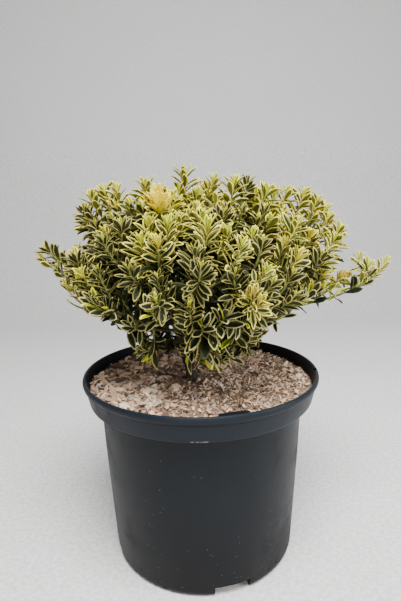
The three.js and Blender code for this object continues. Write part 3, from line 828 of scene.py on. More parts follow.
def plan_crown():
    """The masses with all their tips, and the boughs that carry them."""
    masses = [lay_out(mass) for mass in MASSES]
    random = seeded_run(7919)
    for mass in masses:
        mass["fine_tips"] = []
        mass["inner_tips"] = []
        if mass.get("sparse"):
            mass["fine_tips"] += BRANCH_SHOOTS
    owner_of(PALE_SHOOT, masses)["tips"].append(PALE_SHOOT)
    for tip in SHOULDER_SHOOTS:
        owner_of(tip, masses)["fine_tips"].append(tip)
    for order in range(1, FINE_CROWN_TIPS + 1):
        tip = crown_point(order)
        owner = owner_of(tip, masses)
        tip = tip.lerp(HEART, TIP_UNEVENNESS * random())
        coarse = order <= CROWN_TIPS
        taken = [other for mass in masses for other in (mass["tip"], *mass["tips"], *mass["fine_tips"])]
        room = TIP_ROOM if coarse else FINE_TIP_ROOM
        if min((tip - other).length for other in taken) > room:
            owner["tips" if coarse else "fine_tips"].append(tip)
    for mass in masses:
        if not mass.get("sparse"):
            for tip in mass["tips"] if mass["tip"].z > COMPANION_LEAST else (mass["tip"], *mass["tips"]):
                outer = tip.z > COMPANION_LEAST or math.hypot(tip.x, tip.y) > COMPANION_OUT
                mass["fine_tips"] += companions_of(tip, random) if outer else []
    for order in range(1, INNER_TIPS + 1):
        tip = crown_point(order + FINE_CROWN_TIPS)
        owner = owner_of(tip, masses)
        tip = tip.lerp(HEART, mix(*INNER_SHARE, random()))
        taken = [other for mass in masses for other in mass["inner_tips"]]
        if min([(tip - other).length for other in taken], default=INNER_TIP_ROOM) >= INNER_TIP_ROOM:
            owner["inner_tips"].append(tip)
    for tip in SHADE_SHOOTS:
        owner_of(tip, masses)["inner_tips"].append(tip)
    trunk = trunk_limb()
    mains = [mass for mass in masses if mass.get("main")]
    for order, mass in enumerate(mains):
        mass["bough"] = bough_limb(mass, trunk, MAIN_START[0] - MAIN_START[1] * order)
        mass["carried"] = []
    for mass in masses:
        if not mass.get("main"):
            nearest = max(mains, key=lambda main: main["axis"].dot(mass["axis"]))
            nearest["carried"].append(mass)
    for main in mains:
        for order, mass in enumerate(main["carried"]):
            share = (order + 0.5) / len(main["carried"])
            mass["bough"] = bough_limb(mass, main["bough"], mix(*SIDE_START, share))
    return trunk, mains, masses


def beyond_underside(point):
    """Whether a point lies outside the crown where its underside draws in to the stem."""
    across = point.x - CROWN_CENTRE.x
    deep = point.y - CROWN_CENTRE.y
    across *= 1 - UNDERSIDE_NARROWING * min(deep, 0)
    deep *= UNDERSIDE_BACK if deep > 0 else UNDERSIDE_FRONT
    return math.hypot(across, deep) > np.interp(point.z, UNDERSIDE_HEIGHTS, UNDERSIDE_REACH)


def in_gap(points):
    """Whether any point lies in the gap of the low foliage through which the stem shows."""
    return any(low.x < p.x < high.x and low.y < p.y < high.y and low.z < p.z < high.z
               for p in points for low, high in STEM_GAPS)


# Room between leaves and twigs

class Room:
    """Points already taken in the crown, found by small cells."""

    CELL = 6.0

    def __init__(self):
        self.cells = {}

    def _key(self, point):
        return tuple(int(math.floor(c / self.CELL)) for c in point)

    def take(self, points, owner, radius):
        for point in points:
            self.cells.setdefault(self._key(point), []).append((point, owner, radius))

    def free(self, points, owners, gap):
        for point in points:
            x, y, z = self._key(point)
            for i in (x - 1, x, x + 1):
                for j in (y - 1, y, y + 1):
                    for k in (z - 1, z, z + 1):
                        for other, owner, radius in self.cells.get((i, j, k), ()):
                            if owner not in owners and (other - point).length < gap + radius:
                                return False
        return True


def steps_along(limb):
    """Points along a limb where its room is taken."""
    count = max(2, int(limb.length / ROOM_STEP))
    return [limb.point(i / count) for i in range(count + 1)]


# Leaves dealt along the twigs

def look_of(tip, mass, random):
    """The look of a whole spray, from where its tip stands, with darker looks as painted shade inside the
    crown, low down and at the sides.
    """
    if tip in mass["inner_tips"]:
        return "inner"
    if (tip - PALE_SHOOT).length < PALE_REACH:
        return "reverted"
    if any((tip - place).length < AMBER_REACH for place in AMBER_SHOOTS):
        return "amber"
    if tip in LIGHT_SHOOTS:
        return "pale"
    if tip == mass["tip"] and tip.z > HIGH_TIP:
        return "bright"
    if tip.x > BRANCH_LOOK_FROM:
        return "pale" if random() < 0.5 else "bright"
    # Painted shade: the share of darker looks grows lower down and at the sides
    left = tip.x < -SIDE_FROM and tip.z < LEFT_SHADE_TOP
    side = "right" if tip.x > SIDE_FROM else "left" if left else "middle"
    dark = ramp_share(tip.z, *SHADE_HEIGHTS) + SIDE_SHADE[side]
    low = tip.z < LOW_TIP
    if random() < (LOW_DARK_SHARE if low else DARK_SHARE) * dark:
        return "low" if low and random() < LOW_LOOK_SHARE else "shade"
    draw = random()
    if draw > AMBER_FROM:
        return "amber"
    if left:
        return "mid"
    if tip.z < MID_TIP:
        return "bright" if draw > MID_BRIGHT_FROM else "mid"
    return "pale" if draw > PALE_FROM else "bright"


def leaf_look(spray, order, depth, random):
    """A leaf's own look: young at the tip, with darker looks as painted shade deep in the crown."""
    if spray == "reverted":
        return "reverted" if order < 6 else "pale"
    half, full, inner = SHADE_DEPTHS
    if spray == "inner" or depth > inner:
        return "inner"
    if depth > full or (depth > half and random() < 0.5):
        return "inner" if random() < 0.5 else "shade"
    young = "gold" if spray == "mid" else "young"
    if order < (1 if spray == "shade" else YOUNG_PAIRS):
        return spray if spray in ("amber", "low") else young
    if spray == "amber":
        return "amber" if order < 3 else "bright"
    if order == YOUNG_PAIRS and random() < 0.5:
        return spray if spray == "shade" else young
    return spray


def side_ways(way):
    """Two directions square to a way, the first of them level."""
    level = way.cross(UP)
    if level.length < 0.05:
        level = Vector((1, 0, 0))
    level.normalize()
    return level, way.cross(level).normalized()


def way_round(level, square, angle):
    """A direction square to a way, at an angle round it."""
    return level * math.cos(angle) + square * math.sin(angle)


def leaf_places(limb, tip, mass, masses, owner, random):
    """Crossed pairs of leaves down a twig, each as its pair's order, owner, midrib and own values."""
    spray = look_of(tip, mass, random)
    turn = random() * math.pi
    lone = mass.get("sparse") and tip not in BRANCH_SHOOTS
    spread = LOW_SPREAD if tip.z < LOW_TIP else HIGH_SPREAD if tip.z > HIGH_TIP else 1.0
    if lone:
        spread = SPARSE_SPREAD
    if tip == mass["tip"] and tip.z > HIGH_TIP:
        spread = LEAD_SPREAD
    leafy = LEAFY_FROM[1] if owner[1] else LEAFY_FROM[0]
    large = (LOW_LARGE if tip.z < LOW_TIP else 1) * (0.84 + 0.28 * random())
    closed = 1
    if tip in (mass["tip"], *mass["tips"][:1]) and tip.z > HIGH_TIP:
        large = LEAD_LARGE
    if spray == "reverted":
        large = REVERTED_LARGE
        closed = REVERTED_CLOSED
    places = []
    for order, (below, length, opening) in enumerate(LEAF_PAIRS):
        share = 1 - spread * below * (0.95 + 0.1 * random()) / limb.length
        if share < leafy:
            break
        way = limb.way(share)
        level, square = side_ways(way)
        for side in (0, 1):
            angle = turn + (order * 0.5 + side) * math.pi + 0.25 * (random() - 0.5)
            out = way_round(level, square, angle)
            open_by = math.radians(opening * (0.82 + 0.36 * random()) * closed)
            along = way * math.cos(open_by) + out * math.sin(open_by)
            along += UP * SPARSE_RISE if lone else DOWN * (0.02 * order * random())
            along.normalize()
            size = length * large * (0.86 + 0.26 * random())
            root = limb.point(share) + out * (0.5 * limb.radius(share))
            midrib = [root + along * (size * step) for step in (0.3, 0.55, 0.8, 1.0)]
            look = leaf_look(spray, order, (tip - midrib[-1]).length, random)
            shape = int(random() * LEAF_SHAPES)
            face = way * math.sin(open_by) - out * math.cos(open_by) + UP * (0.45 * random())
            face += along.cross(face) * (LEAF_ROLL * (2 * random() - 1))
            face = (face - along * face.dot(along)).normalized()
            if in_space(midrib[1], mass, masses) and midrib[-1].z > LOWEST_LEAF:
                row = (root, along, face, size, shape, LOOK_NAMES.index(look))
                places.append((order, owner, midrib, row))
    return places


def grow_twigs(mass, masses, room, number):
    """The twigs of a mass, without those that leave its space or touch another limb."""
    twigs = [(mass["lead"], mass["tip"])]
    room.take(steps_along(mass["lead"]), (number, 0), TWIG_ROOM)
    for tip in (*mass["tips"], *mass["fine_tips"], *mass["inner_tips"]):
        coarse = tip in mass["tips"]
        parent = mass["lead"]
        if not coarse:
            parent, _ = min(twigs, key=lambda twig: (twig[1] - tip).length)
        away = (tip - (mass["tip"] if coarse else parent.point(1))).length
        share = max(TWIG_START[0] - away / TWIG_START[2], TWIG_START[1])
        if tip in BRANCH_SHOOTS:
            parent = mass["lead"]
            shares = [step / 24 for step in range(24)]
            share = min(shares, key=lambda along: (parent.point(along) - tip).length) - 0.03
        thick = TWIG_RADIUS if coarse else FINE_TWIG_RADIUS
        limb = twig_limb(parent.point(share), tip, lift_at(tip), thick)
        steps = steps_along(limb)
        owner = (number, len(twigs))
        clear = room.free(steps[3:], (owner,), TWIG_GAP) and not in_gap(steps[-4:])
        if clear and in_space(limb.point(0.7), mass, masses):
            twigs.append((limb, tip))
            room.take(steps, owner, TWIG_ROOM)
    return twigs


def grow_crown(masses, room):
    """The twigs and leaves of each mass: leaves nearest to the tips take their room first."""
    twigs = [grow_twigs(mass, masses, room, number) for number, mass in enumerate(masses)]
    places = []
    for number, mass in enumerate(masses):
        random = seeded_run(101 + 37 * number)
        for place, (limb, tip) in enumerate(twigs[number]):
            places += leaf_places(limb, tip, mass, masses, (number, place), random)
    places.sort(key=lambda place: place[0])
    leaves = [[] for _ in masses]
    for _, owner, midrib, row in places:
        if not masses[owner[0]].get("sparse") and any(map(beyond_underside, midrib)):
            continue
        if midrib[-1].y < -FRONT_REACH:
            continue
        gap = LOW_ROOM if row[0].z < LOW_TIP - 20 else LEAF_ROOM
        if room.free(midrib, (owner,), gap) and not in_gap(midrib):
            room.take(midrib, owner, 0.0)
            leaves[owner[0]].append(row)
    return [limb for grown_twigs in twigs for limb, _ in grown_twigs], leaves


# Trees of geometry nodes

def base_object(name, points, edges=(), **values):
    """A bare object of points in millimetres with named values on them, for a tree to grow on."""
    mesh = bpy.data.meshes.new(name)
    mesh.from_pydata([tuple(MM * c for c in point) for point in points], list(edges), [])
    kinds = {"vector": ("FLOAT_VECTOR", "vector"), "int": ("INT", "value"), "float": ("FLOAT", "value")}
    for label, (kind, rows) in values.items():
        domain, field = kinds[kind]
        attribute = mesh.attributes.new(label, domain, "POINT")
        row_type = np.int32 if kind == "int" else np.float32
        attribute.data.foreach_set(field, np.asarray(rows, dtype=row_type).ravel())
    return piece_of(name, mesh)


def grown(name, base, tree, **inputs):
    """The plain mesh that a tree makes on a base object, which is then removed."""
    modifier = base.modifiers.new("grow", "NODES")
    modifier.node_group = tree
    for item in tree.interface.items_tree:
        label = item.name.replace(" ", "_").lower()
        if item.item_type == "SOCKET" and item.in_out == "INPUT" and label in inputs:
            modifier[item.identifier] = inputs[label]
    mesh = evaluated_mesh(base, name)
    bpy.data.objects.remove(base)
    return piece_of(name, mesh)


def named(tree, label, kind="FLOAT"):
    """A value stored on the points under a name."""
    return add_node(tree, "GeometryNodeInputNamedAttribute", {"Name": label}, data_type=kind).outputs[0]


def dress(tree, geometry, finishes, selections):
    """Realize Instances and Set Material, one finish after another by selection."""
    geometry = add_node(tree, "GeometryNodeRealizeInstances", {0: geometry}).outputs[0]
    for finish, selection in zip(finishes, selections):
        inputs = {"Geometry": geometry, "Material": finish}
        if selection is not None:
            inputs["Selection"] = selection
        geometry = add_node(tree, "GeometryNodeSetMaterial", inputs).outputs[0]
    return geometry


def leaf_spray_tree():
    """One leaf at each point, turned, sized and coloured by the point's own values."""
    tree, given, result = new_group("leaf_sprays", "GeometryNodeTree", {
        "Geometry": "Geometry",
        "Leaf shapes": "Collection",
        "Leaf size": 1.0,
    }, {"Geometry": "Geometry"})
    shapes = add_node(tree, "GeometryNodeCollectionInfo",
                      {"Collection": given["Leaf shapes"], "Separate Children": True,
                       "Reset Children": True})
    turn = add_node(tree, "FunctionNodeEulerToRotation", {0: named(tree, "turn", "FLOAT_VECTOR")})
    scale = times(tree, named(tree, "size"), given["Leaf size"])
    leaves = add_node(tree, "GeometryNodeInstanceOnPoints", {
        "Points": given["Geometry"], "Instance": shapes.outputs[0], "Pick Instance": True,
        "Instance Index": named(tree, "shape", "INT"), "Rotation": turn.outputs[0], "Scale": scale})
    tone = add_node(tree, "FunctionNodeIntegerMath",
                    {0: named(tree, "look", "INT"), 1: len(ZONE_NAMES), 2: named(tree, "zone", "INT")},
                    operation="MULTIPLY_ADD").outputs[0]
    selections = [add_node(tree, "FunctionNodeCompare", {2: tone, 3: order}, data_type="INT",
                           operation="EQUAL").outputs[0] for order in range(len(LEAF_FINISHES))]
    tree.links.new(dress(tree, leaves.outputs[0], LEAF_FINISHES, selections), result[0])
    return tree


def limb_skin_tree():
    """Round skin with uneven relief along every line of the base object."""
    tree, given, result = new_group("limb_skin", "GeometryNodeTree", {
        "Geometry": "Geometry",
        "Sides": 8,
        "Spacing": 0.004,
        "Relief": 0.0002,
        "Relief scale": 500.0,
        "Old finish": "Material",
        "Young finish": "Material",
    }, {"Geometry": "Geometry"})
    curve = add_node(tree, "GeometryNodeMeshToCurve", {0: given["Geometry"]})
    curve = add_node(tree, "GeometryNodeResampleCurve",
                     {"Curve": curve.outputs[0], "Length": given["Spacing"]}, mode="LENGTH")
    ring = add_node(tree, "GeometryNodeCurvePrimitiveCircle",
                    {"Resolution": given["Sides"], "Radius": 1.0})
    skin = add_node(tree, "GeometryNodeCurveToMesh", {
        "Curve": curve.outputs[0], "Profile Curve": ring.outputs[0], "Scale": named(tree, "thick"),
        "Fill Caps": True})
    place = tree.nodes.new("GeometryNodeInputPosition").outputs[0]
    rise = minus(tree, noise_on(tree, place, given["Relief scale"], 3.0), 0.5)
    rise = times(tree, rise, given["Relief"])
    normal = tree.nodes.new("GeometryNodeInputNormal").outputs[0]
    offset = add_node(tree, "ShaderNodeVectorMath", {0: normal, "Scale": rise}, operation="SCALE")
    moved = add_node(tree, "GeometryNodeSetPosition",
                     {"Geometry": skin.outputs[0], "Offset": offset.outputs[0]})
    soft = add_node(tree, "GeometryNodeSetShadeSmooth", {"Geometry": moved.outputs[0]})
    young = maths(tree, "GREATER_THAN", named(tree, "share"), YOUNG_TWIG_FROM)
    finishes = (given["Old finish"], given["Young finish"])
    tree.links.new(dress(tree, soft.outputs[0], finishes, (None, young)), result[0])
    return tree


def random_share(tree, seed):
    """An even random value from 0 to 1 for each point."""
    return add_node(tree, "FunctionNodeRandomValue", {"Seed": seed}, data_type="FLOAT").outputs[1]


def chip_scatter_tree():
    """Chips strewn over the mulch, larger to the left, darker round the trunk, and lighter to the right as
    painted light where the crown's shadow falls.
    """
    tree, given, result = new_group("chip_scatter", "GeometryNodeTree", {
        "Geometry": "Geometry",
        "Chip shapes": "Collection",
        "Spacing": 0.003,
        "Density": 200000.0,
        "Small": 0.003,
        "Large": 0.007,
        "Rise": 0.002,
        "Left share": 0.0,
        "Clear reach": 0.0,
        "Darker": 0.0,
        "Seed": 3,
    }, {"Geometry": "Geometry"})
    place = tree.nodes.new("GeometryNodeInputPosition").outputs[0]
    apart = add_node(tree, "ShaderNodeSeparateXYZ", {0: place})
    flat = add_node(tree, "ShaderNodeCombineXYZ", {0: apart.outputs[0], 1: apart.outputs[1]}).outputs[0]
    foot = (MM * FOOT.x, MM * FOOT.y, 0)
    from_trunk = vector_maths(tree, "DISTANCE", flat, foot).outputs["Value"]
    from_axis = add_node(tree, "ShaderNodeVectorMath", {0: flat}, operation="LENGTH").outputs["Value"]
    reach = plus(tree, from_axis, times(tree, given["Large"], 0.42))
    inside = maths(tree, "LESS_THAN", reach, MM * CHIP_REACH)
    clear = maths(tree, "GREATER_THAN", from_trunk, MM * 9)
    clear = times(tree, clear, maths(tree, "GREATER_THAN", from_axis, given["Clear reach"]))
    to_left = ramp(tree, apart.outputs[0], -0.085, 0.03, 1.0, 0.0)
    wanted = times(tree, times(tree, inside, clear),
                   maths(tree, "GREATER_THAN", plus(tree, to_left, 0.02), given["Left share"]))
    points = add_node(tree, "GeometryNodeDistributePointsOnFaces", {
        "Mesh": given["Geometry"], "Selection": wanted, "Distance Min": given["Spacing"],
        "Density Max": given["Density"], "Seed": given["Seed"]},
        distribute_method="POISSON").outputs[0]
    chance = random_share(tree, 11)
    near = ramp(tree, from_trunk, 0.012, 0.048, 0.42, 0.0)
    # Painted light: chips lighter to the right, where the crown's shadow falls on the mulch
    near = plus(tree, near, ramp(tree, apart.outputs[0], 0.01, 0.09, 0.0, -0.22))
    far_left = ramp(tree, minus(tree, apart.outputs[1], apart.outputs[0]), 0.04, 0.12, 0.0, 0.3)
    patch = ramp(tree, noise_on(tree, place, 55.0, 2.0), 0.35, 0.7, -0.16, 0.10)
    tone = plus(tree, plus(tree, chance, near), plus(tree, far_left, patch))
    tone = plus(tree, tone, given["Darker"])
    points = add_node(tree, "GeometryNodeStoreNamedAttribute",
                      {"Geometry": points, "Name": "tone", "Value": tone}, data_type="FLOAT").outputs[0]
    lift = random_share(tree, 5)
    lift = add_node(tree, "ShaderNodeCombineXYZ", {2: times(tree, lift, given["Rise"])})
    points = add_node(tree, "GeometryNodeSetPosition", {"Geometry": points, "Offset": lift.outputs[0]})
    shapes = add_node(tree, "GeometryNodeCollectionInfo",
                      {"Collection": given["Chip shapes"], "Separate Children": True,
                       "Reset Children": True})
    tilt = math.radians(CHIP_TILT)
    turn = add_node(tree, "FunctionNodeRandomValue",
                    {0: (-tilt, -tilt, 0), 1: (tilt, tilt, 2 * math.pi), "Seed": 7},
                    data_type="FLOAT_VECTOR").outputs[0]
    turn = add_node(tree, "FunctionNodeEulerToRotation", {0: turn}).outputs[0]
    draw = random_share(tree, 9)
    draw = maths(tree, "POWER", draw, 1.8)
    grow = ramp(tree, apart.outputs[0], -0.09, 0.03, 1.3, 0.90)
    front = minus(tree, apart.outputs[1], times(tree, apart.outputs[0], 0.4))
    grow = times(tree, grow, ramp(tree, front, -0.09, -0.01, 0.80, 1.0))
    span = minus(tree, given["Large"], given["Small"])
    size = maths(tree, "MULTIPLY_ADD", span, draw)
    tree.links.new(given["Small"], size.node.inputs[2])
    size = times(tree, size, grow)
    pick = add_node(tree, "FunctionNodeRandomValue", {4: 0, 5: 7, "Seed": 13}, data_type="INT").outputs[2]
    chips = add_node(tree, "GeometryNodeInstanceOnPoints", {
        "Points": points.outputs[0], "Instance": shapes.outputs[0], "Pick Instance": True,
        "Instance Index": pick, "Rotation": turn, "Scale": size})
    selections = [maths(tree, "GREATER_THAN", named(tree, "tone"), start) for start in CHIP_FROM]
    tree.links.new(dress(tree, chips.outputs[0], CHIP_FINISHES, selections), result[0])
    return tree


# Shapes that the trees repeat

def leaf_half_width(along):
    return math.sin(math.pi * along ** 1.22) ** 0.7


def leaf_shape(name, random):
    """A closed blade of unit length along X: folded, curled, with zones for its colours."""
    half = LEAF_WIDTH_SHARE * (0.88 + 0.26 * random())
    fold = 0.22 + 0.3 * random()
    curl = 0.02 + 0.18 * random()
    thick = 0.011
    wide_margin = 0.62 + 0.2 * random()
    one_sided = 0.16 * (random() - 0.5)
    points = [(0, 0, 0)]
    rows = []
    for along in LEAF_STATIONS:
        wide = half * leaf_half_width(along)
        bend = -curl * along * along
        margin = [min(0.86, max(0.28, wide_margin + side * one_sided + 0.2 * (random() - 0.5)
                                - (0.3 if along > 0.8 else 0))) for side in (-1, 1)]
        band = [edge * (0.34 + 0.34 * random()) for edge in margin]
        across = (-1, -margin[0], -band[0], 0, band[1], margin[1], 1)
        top = []
        for share in across:
            rise = fold * abs(share) * wide + thick * (1 - share * share)
            top.append(len(points))
            points.append((along, share * wide, bend + rise))
        under = []
        for share in across[1:2] + (0,) + across[5:6]:
            rise = fold * abs(share) * wide - thick * (1 - share * share)
            under.append(len(points))
            points.append((along, share * wide, bend + rise))
        rows.append((top, [top[0], *under, top[-1]]))
    tip = len(points)
    points.append((1, 0, -curl))
    faces = []
    zones = []
    for side, strips in ((0, (0, 1, 2, 2, 1, 0)), (1, (0, 1, 1, 0))):
        for place, zone in enumerate(strips):
            chain = [row[side][place:place + 2] for row in rows]
            ends = [[0, *chain[0]]] + [[*a, *reversed(b)] for a, b in zip(chain, chain[1:])]
            ends.append([*chain[-1], tip])
            for order, corners in enumerate(ends):
                faces.append(corners if side else corners[::-1])
                zones.append(0 if order == len(ends) - 1 else zone)
    mesh = bpy.data.meshes.new(name)
    mesh.from_pydata(points, [], faces)
    mesh.attributes.new("zone", "INT", "FACE").data.foreach_set("value", zones)
    worked(mesh, face_outwards)
    mesh.shade_smooth()
    return bpy.data.objects.new(name, mesh)


def chip_shape(name, random, broad, thick, count):
    """A broken bark chip of unit length: the hull of scattered corners."""
    def break_off(shell):
        for _ in range(count):
            turn = 2 * math.pi * random()
            rise = 2 * random() - 1
            level = math.sqrt(1 - rise * rise)
            corner = (level * math.cos(turn), broad * level * math.sin(turn), thick * rise)
            shell.verts.new([0.5 * c for c in corner])
        hull = bmesh.ops.convex_hull(shell, input=shell.verts)
        spare = {item for item in hull["geom_interior"] + hull["geom_unused"]
                 if isinstance(item, bmesh.types.BMVert)}
        bmesh.ops.delete(shell, geom=list(spare), context="VERTS")

    return bpy.data.objects.new(name, worked(bpy.data.meshes.new(name), break_off))


def collection_of(name, objects):
    collection = bpy.data.collections.new(name)
    for item in objects:
        collection.objects.link(item)
    return collection


def discard(collection):
    for item in list(collection.objects):
        bpy.data.objects.remove(item)
    bpy.data.collections.remove(collection)


# Pot and mulch

def rounded(profile, steps=5):
    """A profile of [radius, height, fillet] corners as smooth points."""
    points = []
    for i, (radius, height, fillet) in enumerate(profile):
        here = Vector((radius, height))
        if fillet == 0 or i in (0, len(profile) - 1):
            points.append(here)
            continue
        before = Vector(profile[i - 1][:2]) - here
        after = Vector(profile[i + 1][:2]) - here
        cut = min(fillet, 0.45 * before.length, 0.45 * after.length)
        start = here + before.normalized() * cut
        end = here + after.normalized() * cut
        for step in range(steps + 1):
            share = step / steps
            points.append(start.lerp(here, share).lerp(here.lerp(end, share), share))
    return points


def as_given(x, y, height):
    return height


def turned(name, profile, sides, materials, height_at=as_given):
    """A closed body turned about the pot's axis; the profile's ends lie on the axis."""
    points = []
    rings = []
    for radius, height in profile:
        if radius < 1e-6:
            rings.append([len(points)])
            points.append((0, 0, height_at(0, 0, height)))
            continue
        ring = []
        for side in range(sides):
            angle = 2 * math.pi * side / sides
            x, y = radius * math.cos(angle), radius * math.sin(angle)
            ring.append(len(points))
            points.append((x, y, height_at(x, y, height)))
        rings.append(ring)
    faces = []
    for low, high in zip(rings, rings[1:]):
        for side in range(sides):
            after = (side + 1) % sides
            corners = [low[side % len(low)], low[after % len(low)],
                       high[after % len(high)], high[side % len(high)]]
            faces.append(list(dict.fromkeys(corners)))
    return mesh_of(name, points, faces, materials)


def box_cutter(name, size, radius, height, bearing):
    """A box that stands across the pot's wall at a bearing in degrees."""
    place = (Matrix.Rotation(math.radians(bearing), 4, "Z")
             @ Matrix.Translation(Vector((radius, 0, height)) * MM)
             @ Matrix.Diagonal((*(MM * c for c in size), 1)))

    def set_box(shell):
        bmesh.ops.create_cube(shell, size=1)
        shell.transform(place)

    return piece_of(name, worked(bpy.data.meshes.new(name), set_box))


def make_pot():
    """The turned pot with its drain cut-outs and the nick in its lip."""
    rim = RIM_RADIUS
    top = POT_HEIGHT
    profile = (
        (0, 0, 0), (FOOT_RADIUS - 3, 0, 1), (FOOT_RADIUS, 3.4, 2.5), (WAIST_RADIUS, WAIST_HEIGHT, 0),
        (SHOULDER_RADIUS, SHOULDER_HEIGHT, 0.9), (COLLAR_RADIUS, COLLAR_HEIGHT, 1.5),
        (rim - 2.4, top - 7, 0.6), (rim - 0.5, top - 5.4, 0.8), (rim, top - 2.4, 1),
        (rim - 1, top, 0.9), (rim - 3, top, 0.9), (rim - RIM_LIP, top - RIM_LIP_HEIGHT, 0.8),
        (COLLAR_RADIUS - WALL, COLLAR_HEIGHT + WALL, 1),
        (SHOULDER_RADIUS - WALL, SHOULDER_HEIGHT + WALL, 1),
        (WAIST_RADIUS - WALL, WAIST_HEIGHT, 0), (FOOT_RADIUS - WALL - 0.2, FLOOR + 4, 2),
        (FOOT_RADIUS - WALL - 3, FLOOR, 1), (0, FLOOR, 0),
    )
    blank = turned("pot_blank", rounded(profile), POT_SIDES, (POT_OUTSIDE, POT_INSIDE_PAINTED_SHADE))
    body = piece_of("pot_blank", blank)
    cutters = [box_cutter(f"drain_{i}", DRAIN_SIZE, FOOT_RADIUS, 0, DRAIN_BEARING + 360 / DRAIN_COUNT * i)
               for i in range(DRAIN_COUNT)]
    cutters.append(box_cutter("nick", NICK_SIZE, rim, top, NICK_BEARING))
    for cutter in cutters:
        cut = body.modifiers.new("cut", "BOOLEAN")
        cut.operation = "DIFFERENCE"
        cut.object = cutter
        cut.solver = "EXACT"
    mesh = evaluated_mesh(body, "nursery_pot")
    for item in (body, *cutters):
        bpy.data.objects.remove(item)
    # Faces of the inner wall take the darker copy of the plastic, as painted shade
    inner = MM * (top - 0.4)
    for face in mesh.polygons:
        centre = face.center
        inwards = face.normal.x * centre.x + face.normal.y * centre.y < -1e-9
        face.material_index = 1 if inwards and centre.z < inner and centre.z > MM * FLOOR else 0
    smooth(mesh, 38)
    return piece_of("nursery_pot", mesh)


def make_ledge():
    """A flat strip joined to the near rim from inside, with a straight inner edge."""
    first, last = LEDGE_BEARINGS
    inner, outer = LEDGE_RADII
    plan = [(outer, mix(first, last, i / LEDGE_STEPS)) for i in range(LEDGE_STEPS + 1)]
    plan += [(inner, last), (inner, first)]
    count = len(plan)
    points = [(radius * math.cos(math.radians(bearing)), radius * math.sin(math.radians(bearing)), height)
              for height in LEDGE_HEIGHTS for radius, bearing in plan]
    faces = [list(range(count)), list(range(count, 2 * count))]
    faces += [[i, (i + 1) % count, count + (i + 1) % count, count + i] for i in range(count)]
    return piece_of("rim_ledge", mesh_of("rim_ledge", points, faces, (POT_INSIDE_PAINTED_SHADE,)))


def mix_height(x, y, height):
    """The mulch's bumps, none of them where the trunk stands."""
    if height < MIX_TOP - 0.1:
        return height
    away = math.hypot(x - FOOT.x, y - FOOT.y)
    share = ramp_share(away, BARE_PATCH, 2 * BARE_PATCH)
    share = share * share * (3 - 2 * share)
    broad = math.sin(x / 7.7 + 1.1) * math.cos(y / 9.1)
    fine = math.sin(x / 3.4 - y / 4.3)
    humps = noise.noise(Vector((x, y, 5)) / 11) + 0.35 * noise.noise(Vector((x, y, 9)) / 4)
    wide, deep = HOLLOW_SIZE
    hollow = HOLLOW_DEPTH * math.exp(-((x - HOLLOW.x) / wide) ** 2 - ((y - HOLLOW.y) / deep) ** 2)
    return height + share * (MIX_BUMP * 0.5 * (broad + fine) + HUMP * (humps - 0.1)) - hollow


def make_mix():
    """The potting mix that fills the pot, with a bumpy top."""
    reach = COLLAR_RADIUS - WALL - MIX_GAP
    ledge = COLLAR_HEIGHT + WALL
    flare = (RIM_RADIUS - RIM_LIP - COLLAR_RADIUS + WALL) / (POT_HEIGHT - RIM_LIP_HEIGHT - ledge)
    edge = reach + flare * (MIX_TOP - MIX_EDGE_DROP - ledge)
    profile = [
        (0, FLOOR + MIX_GAP), (FOOT_RADIUS - WALL - 16, FLOOR + MIX_GAP),
        (FOOT_RADIUS - WALL - MIX_GAP - 0.6, FLOOR + 10), (WAIST_RADIUS - WALL - MIX_GAP, WAIST_HEIGHT),
        (SHOULDER_RADIUS - WALL - MIX_GAP, SHOULDER_HEIGHT + WALL + MIX_GAP),
        (reach, ledge + MIX_GAP), (edge, MIX_TOP - MIX_EDGE_DROP),
    ]
    profile += [((edge - 3) * (1 - ring / MIX_RINGS), MIX_TOP) for ring in range(MIX_RINGS + 1)]
    mesh = turned("potting_mix_bed", profile, 120, (MIX_FINISH,), mix_height)
    mesh.shade_smooth()
    return piece_of("potting_mix_bed", mesh)


def mulch_top(bed):
    """A copy of the bed's upper faces alone, for chips to lie on."""
    def drop_low_faces(shell):
        low = [face for face in shell.faces if face.calc_center_median().z < MM * MULCH_FROM]
        bmesh.ops.delete(shell, geom=low, context="FACES")

    return piece_of("mulch_top", worked(bed.data.copy(), drop_low_faces))


def joined(name, parts):
    """Several pieces as one mesh with their finishes kept."""
    with bpy.context.temp_override(active_object=parts[0], selected_editable_objects=parts):
        bpy.ops.object.join()
    parts[0].name = name
    parts[0].data.name = name
    return parts[0]


def make_chips(bed):
    """Bark chips in layers from fine to coarse, and small ones along the wall."""
    random = seeded_run(4241)
    chips = [chip_shape(f"chip_{i}", random, *kind) for i, kind in enumerate(CHIP_KINDS)]
    shapes = collection_of("chip_shapes", chips)
    tree = chip_scatter_tree()
    parts = [grown(f"chips_{i}", mulch_top(bed), tree, chip_shapes=shapes, **dict(zip(CHIP_INPUTS, layer)))
             for i, layer in enumerate(CHIP_LAYERS)]
    discard(shapes)
    return joined("bark_chips", parts)


# Trunk and boughs

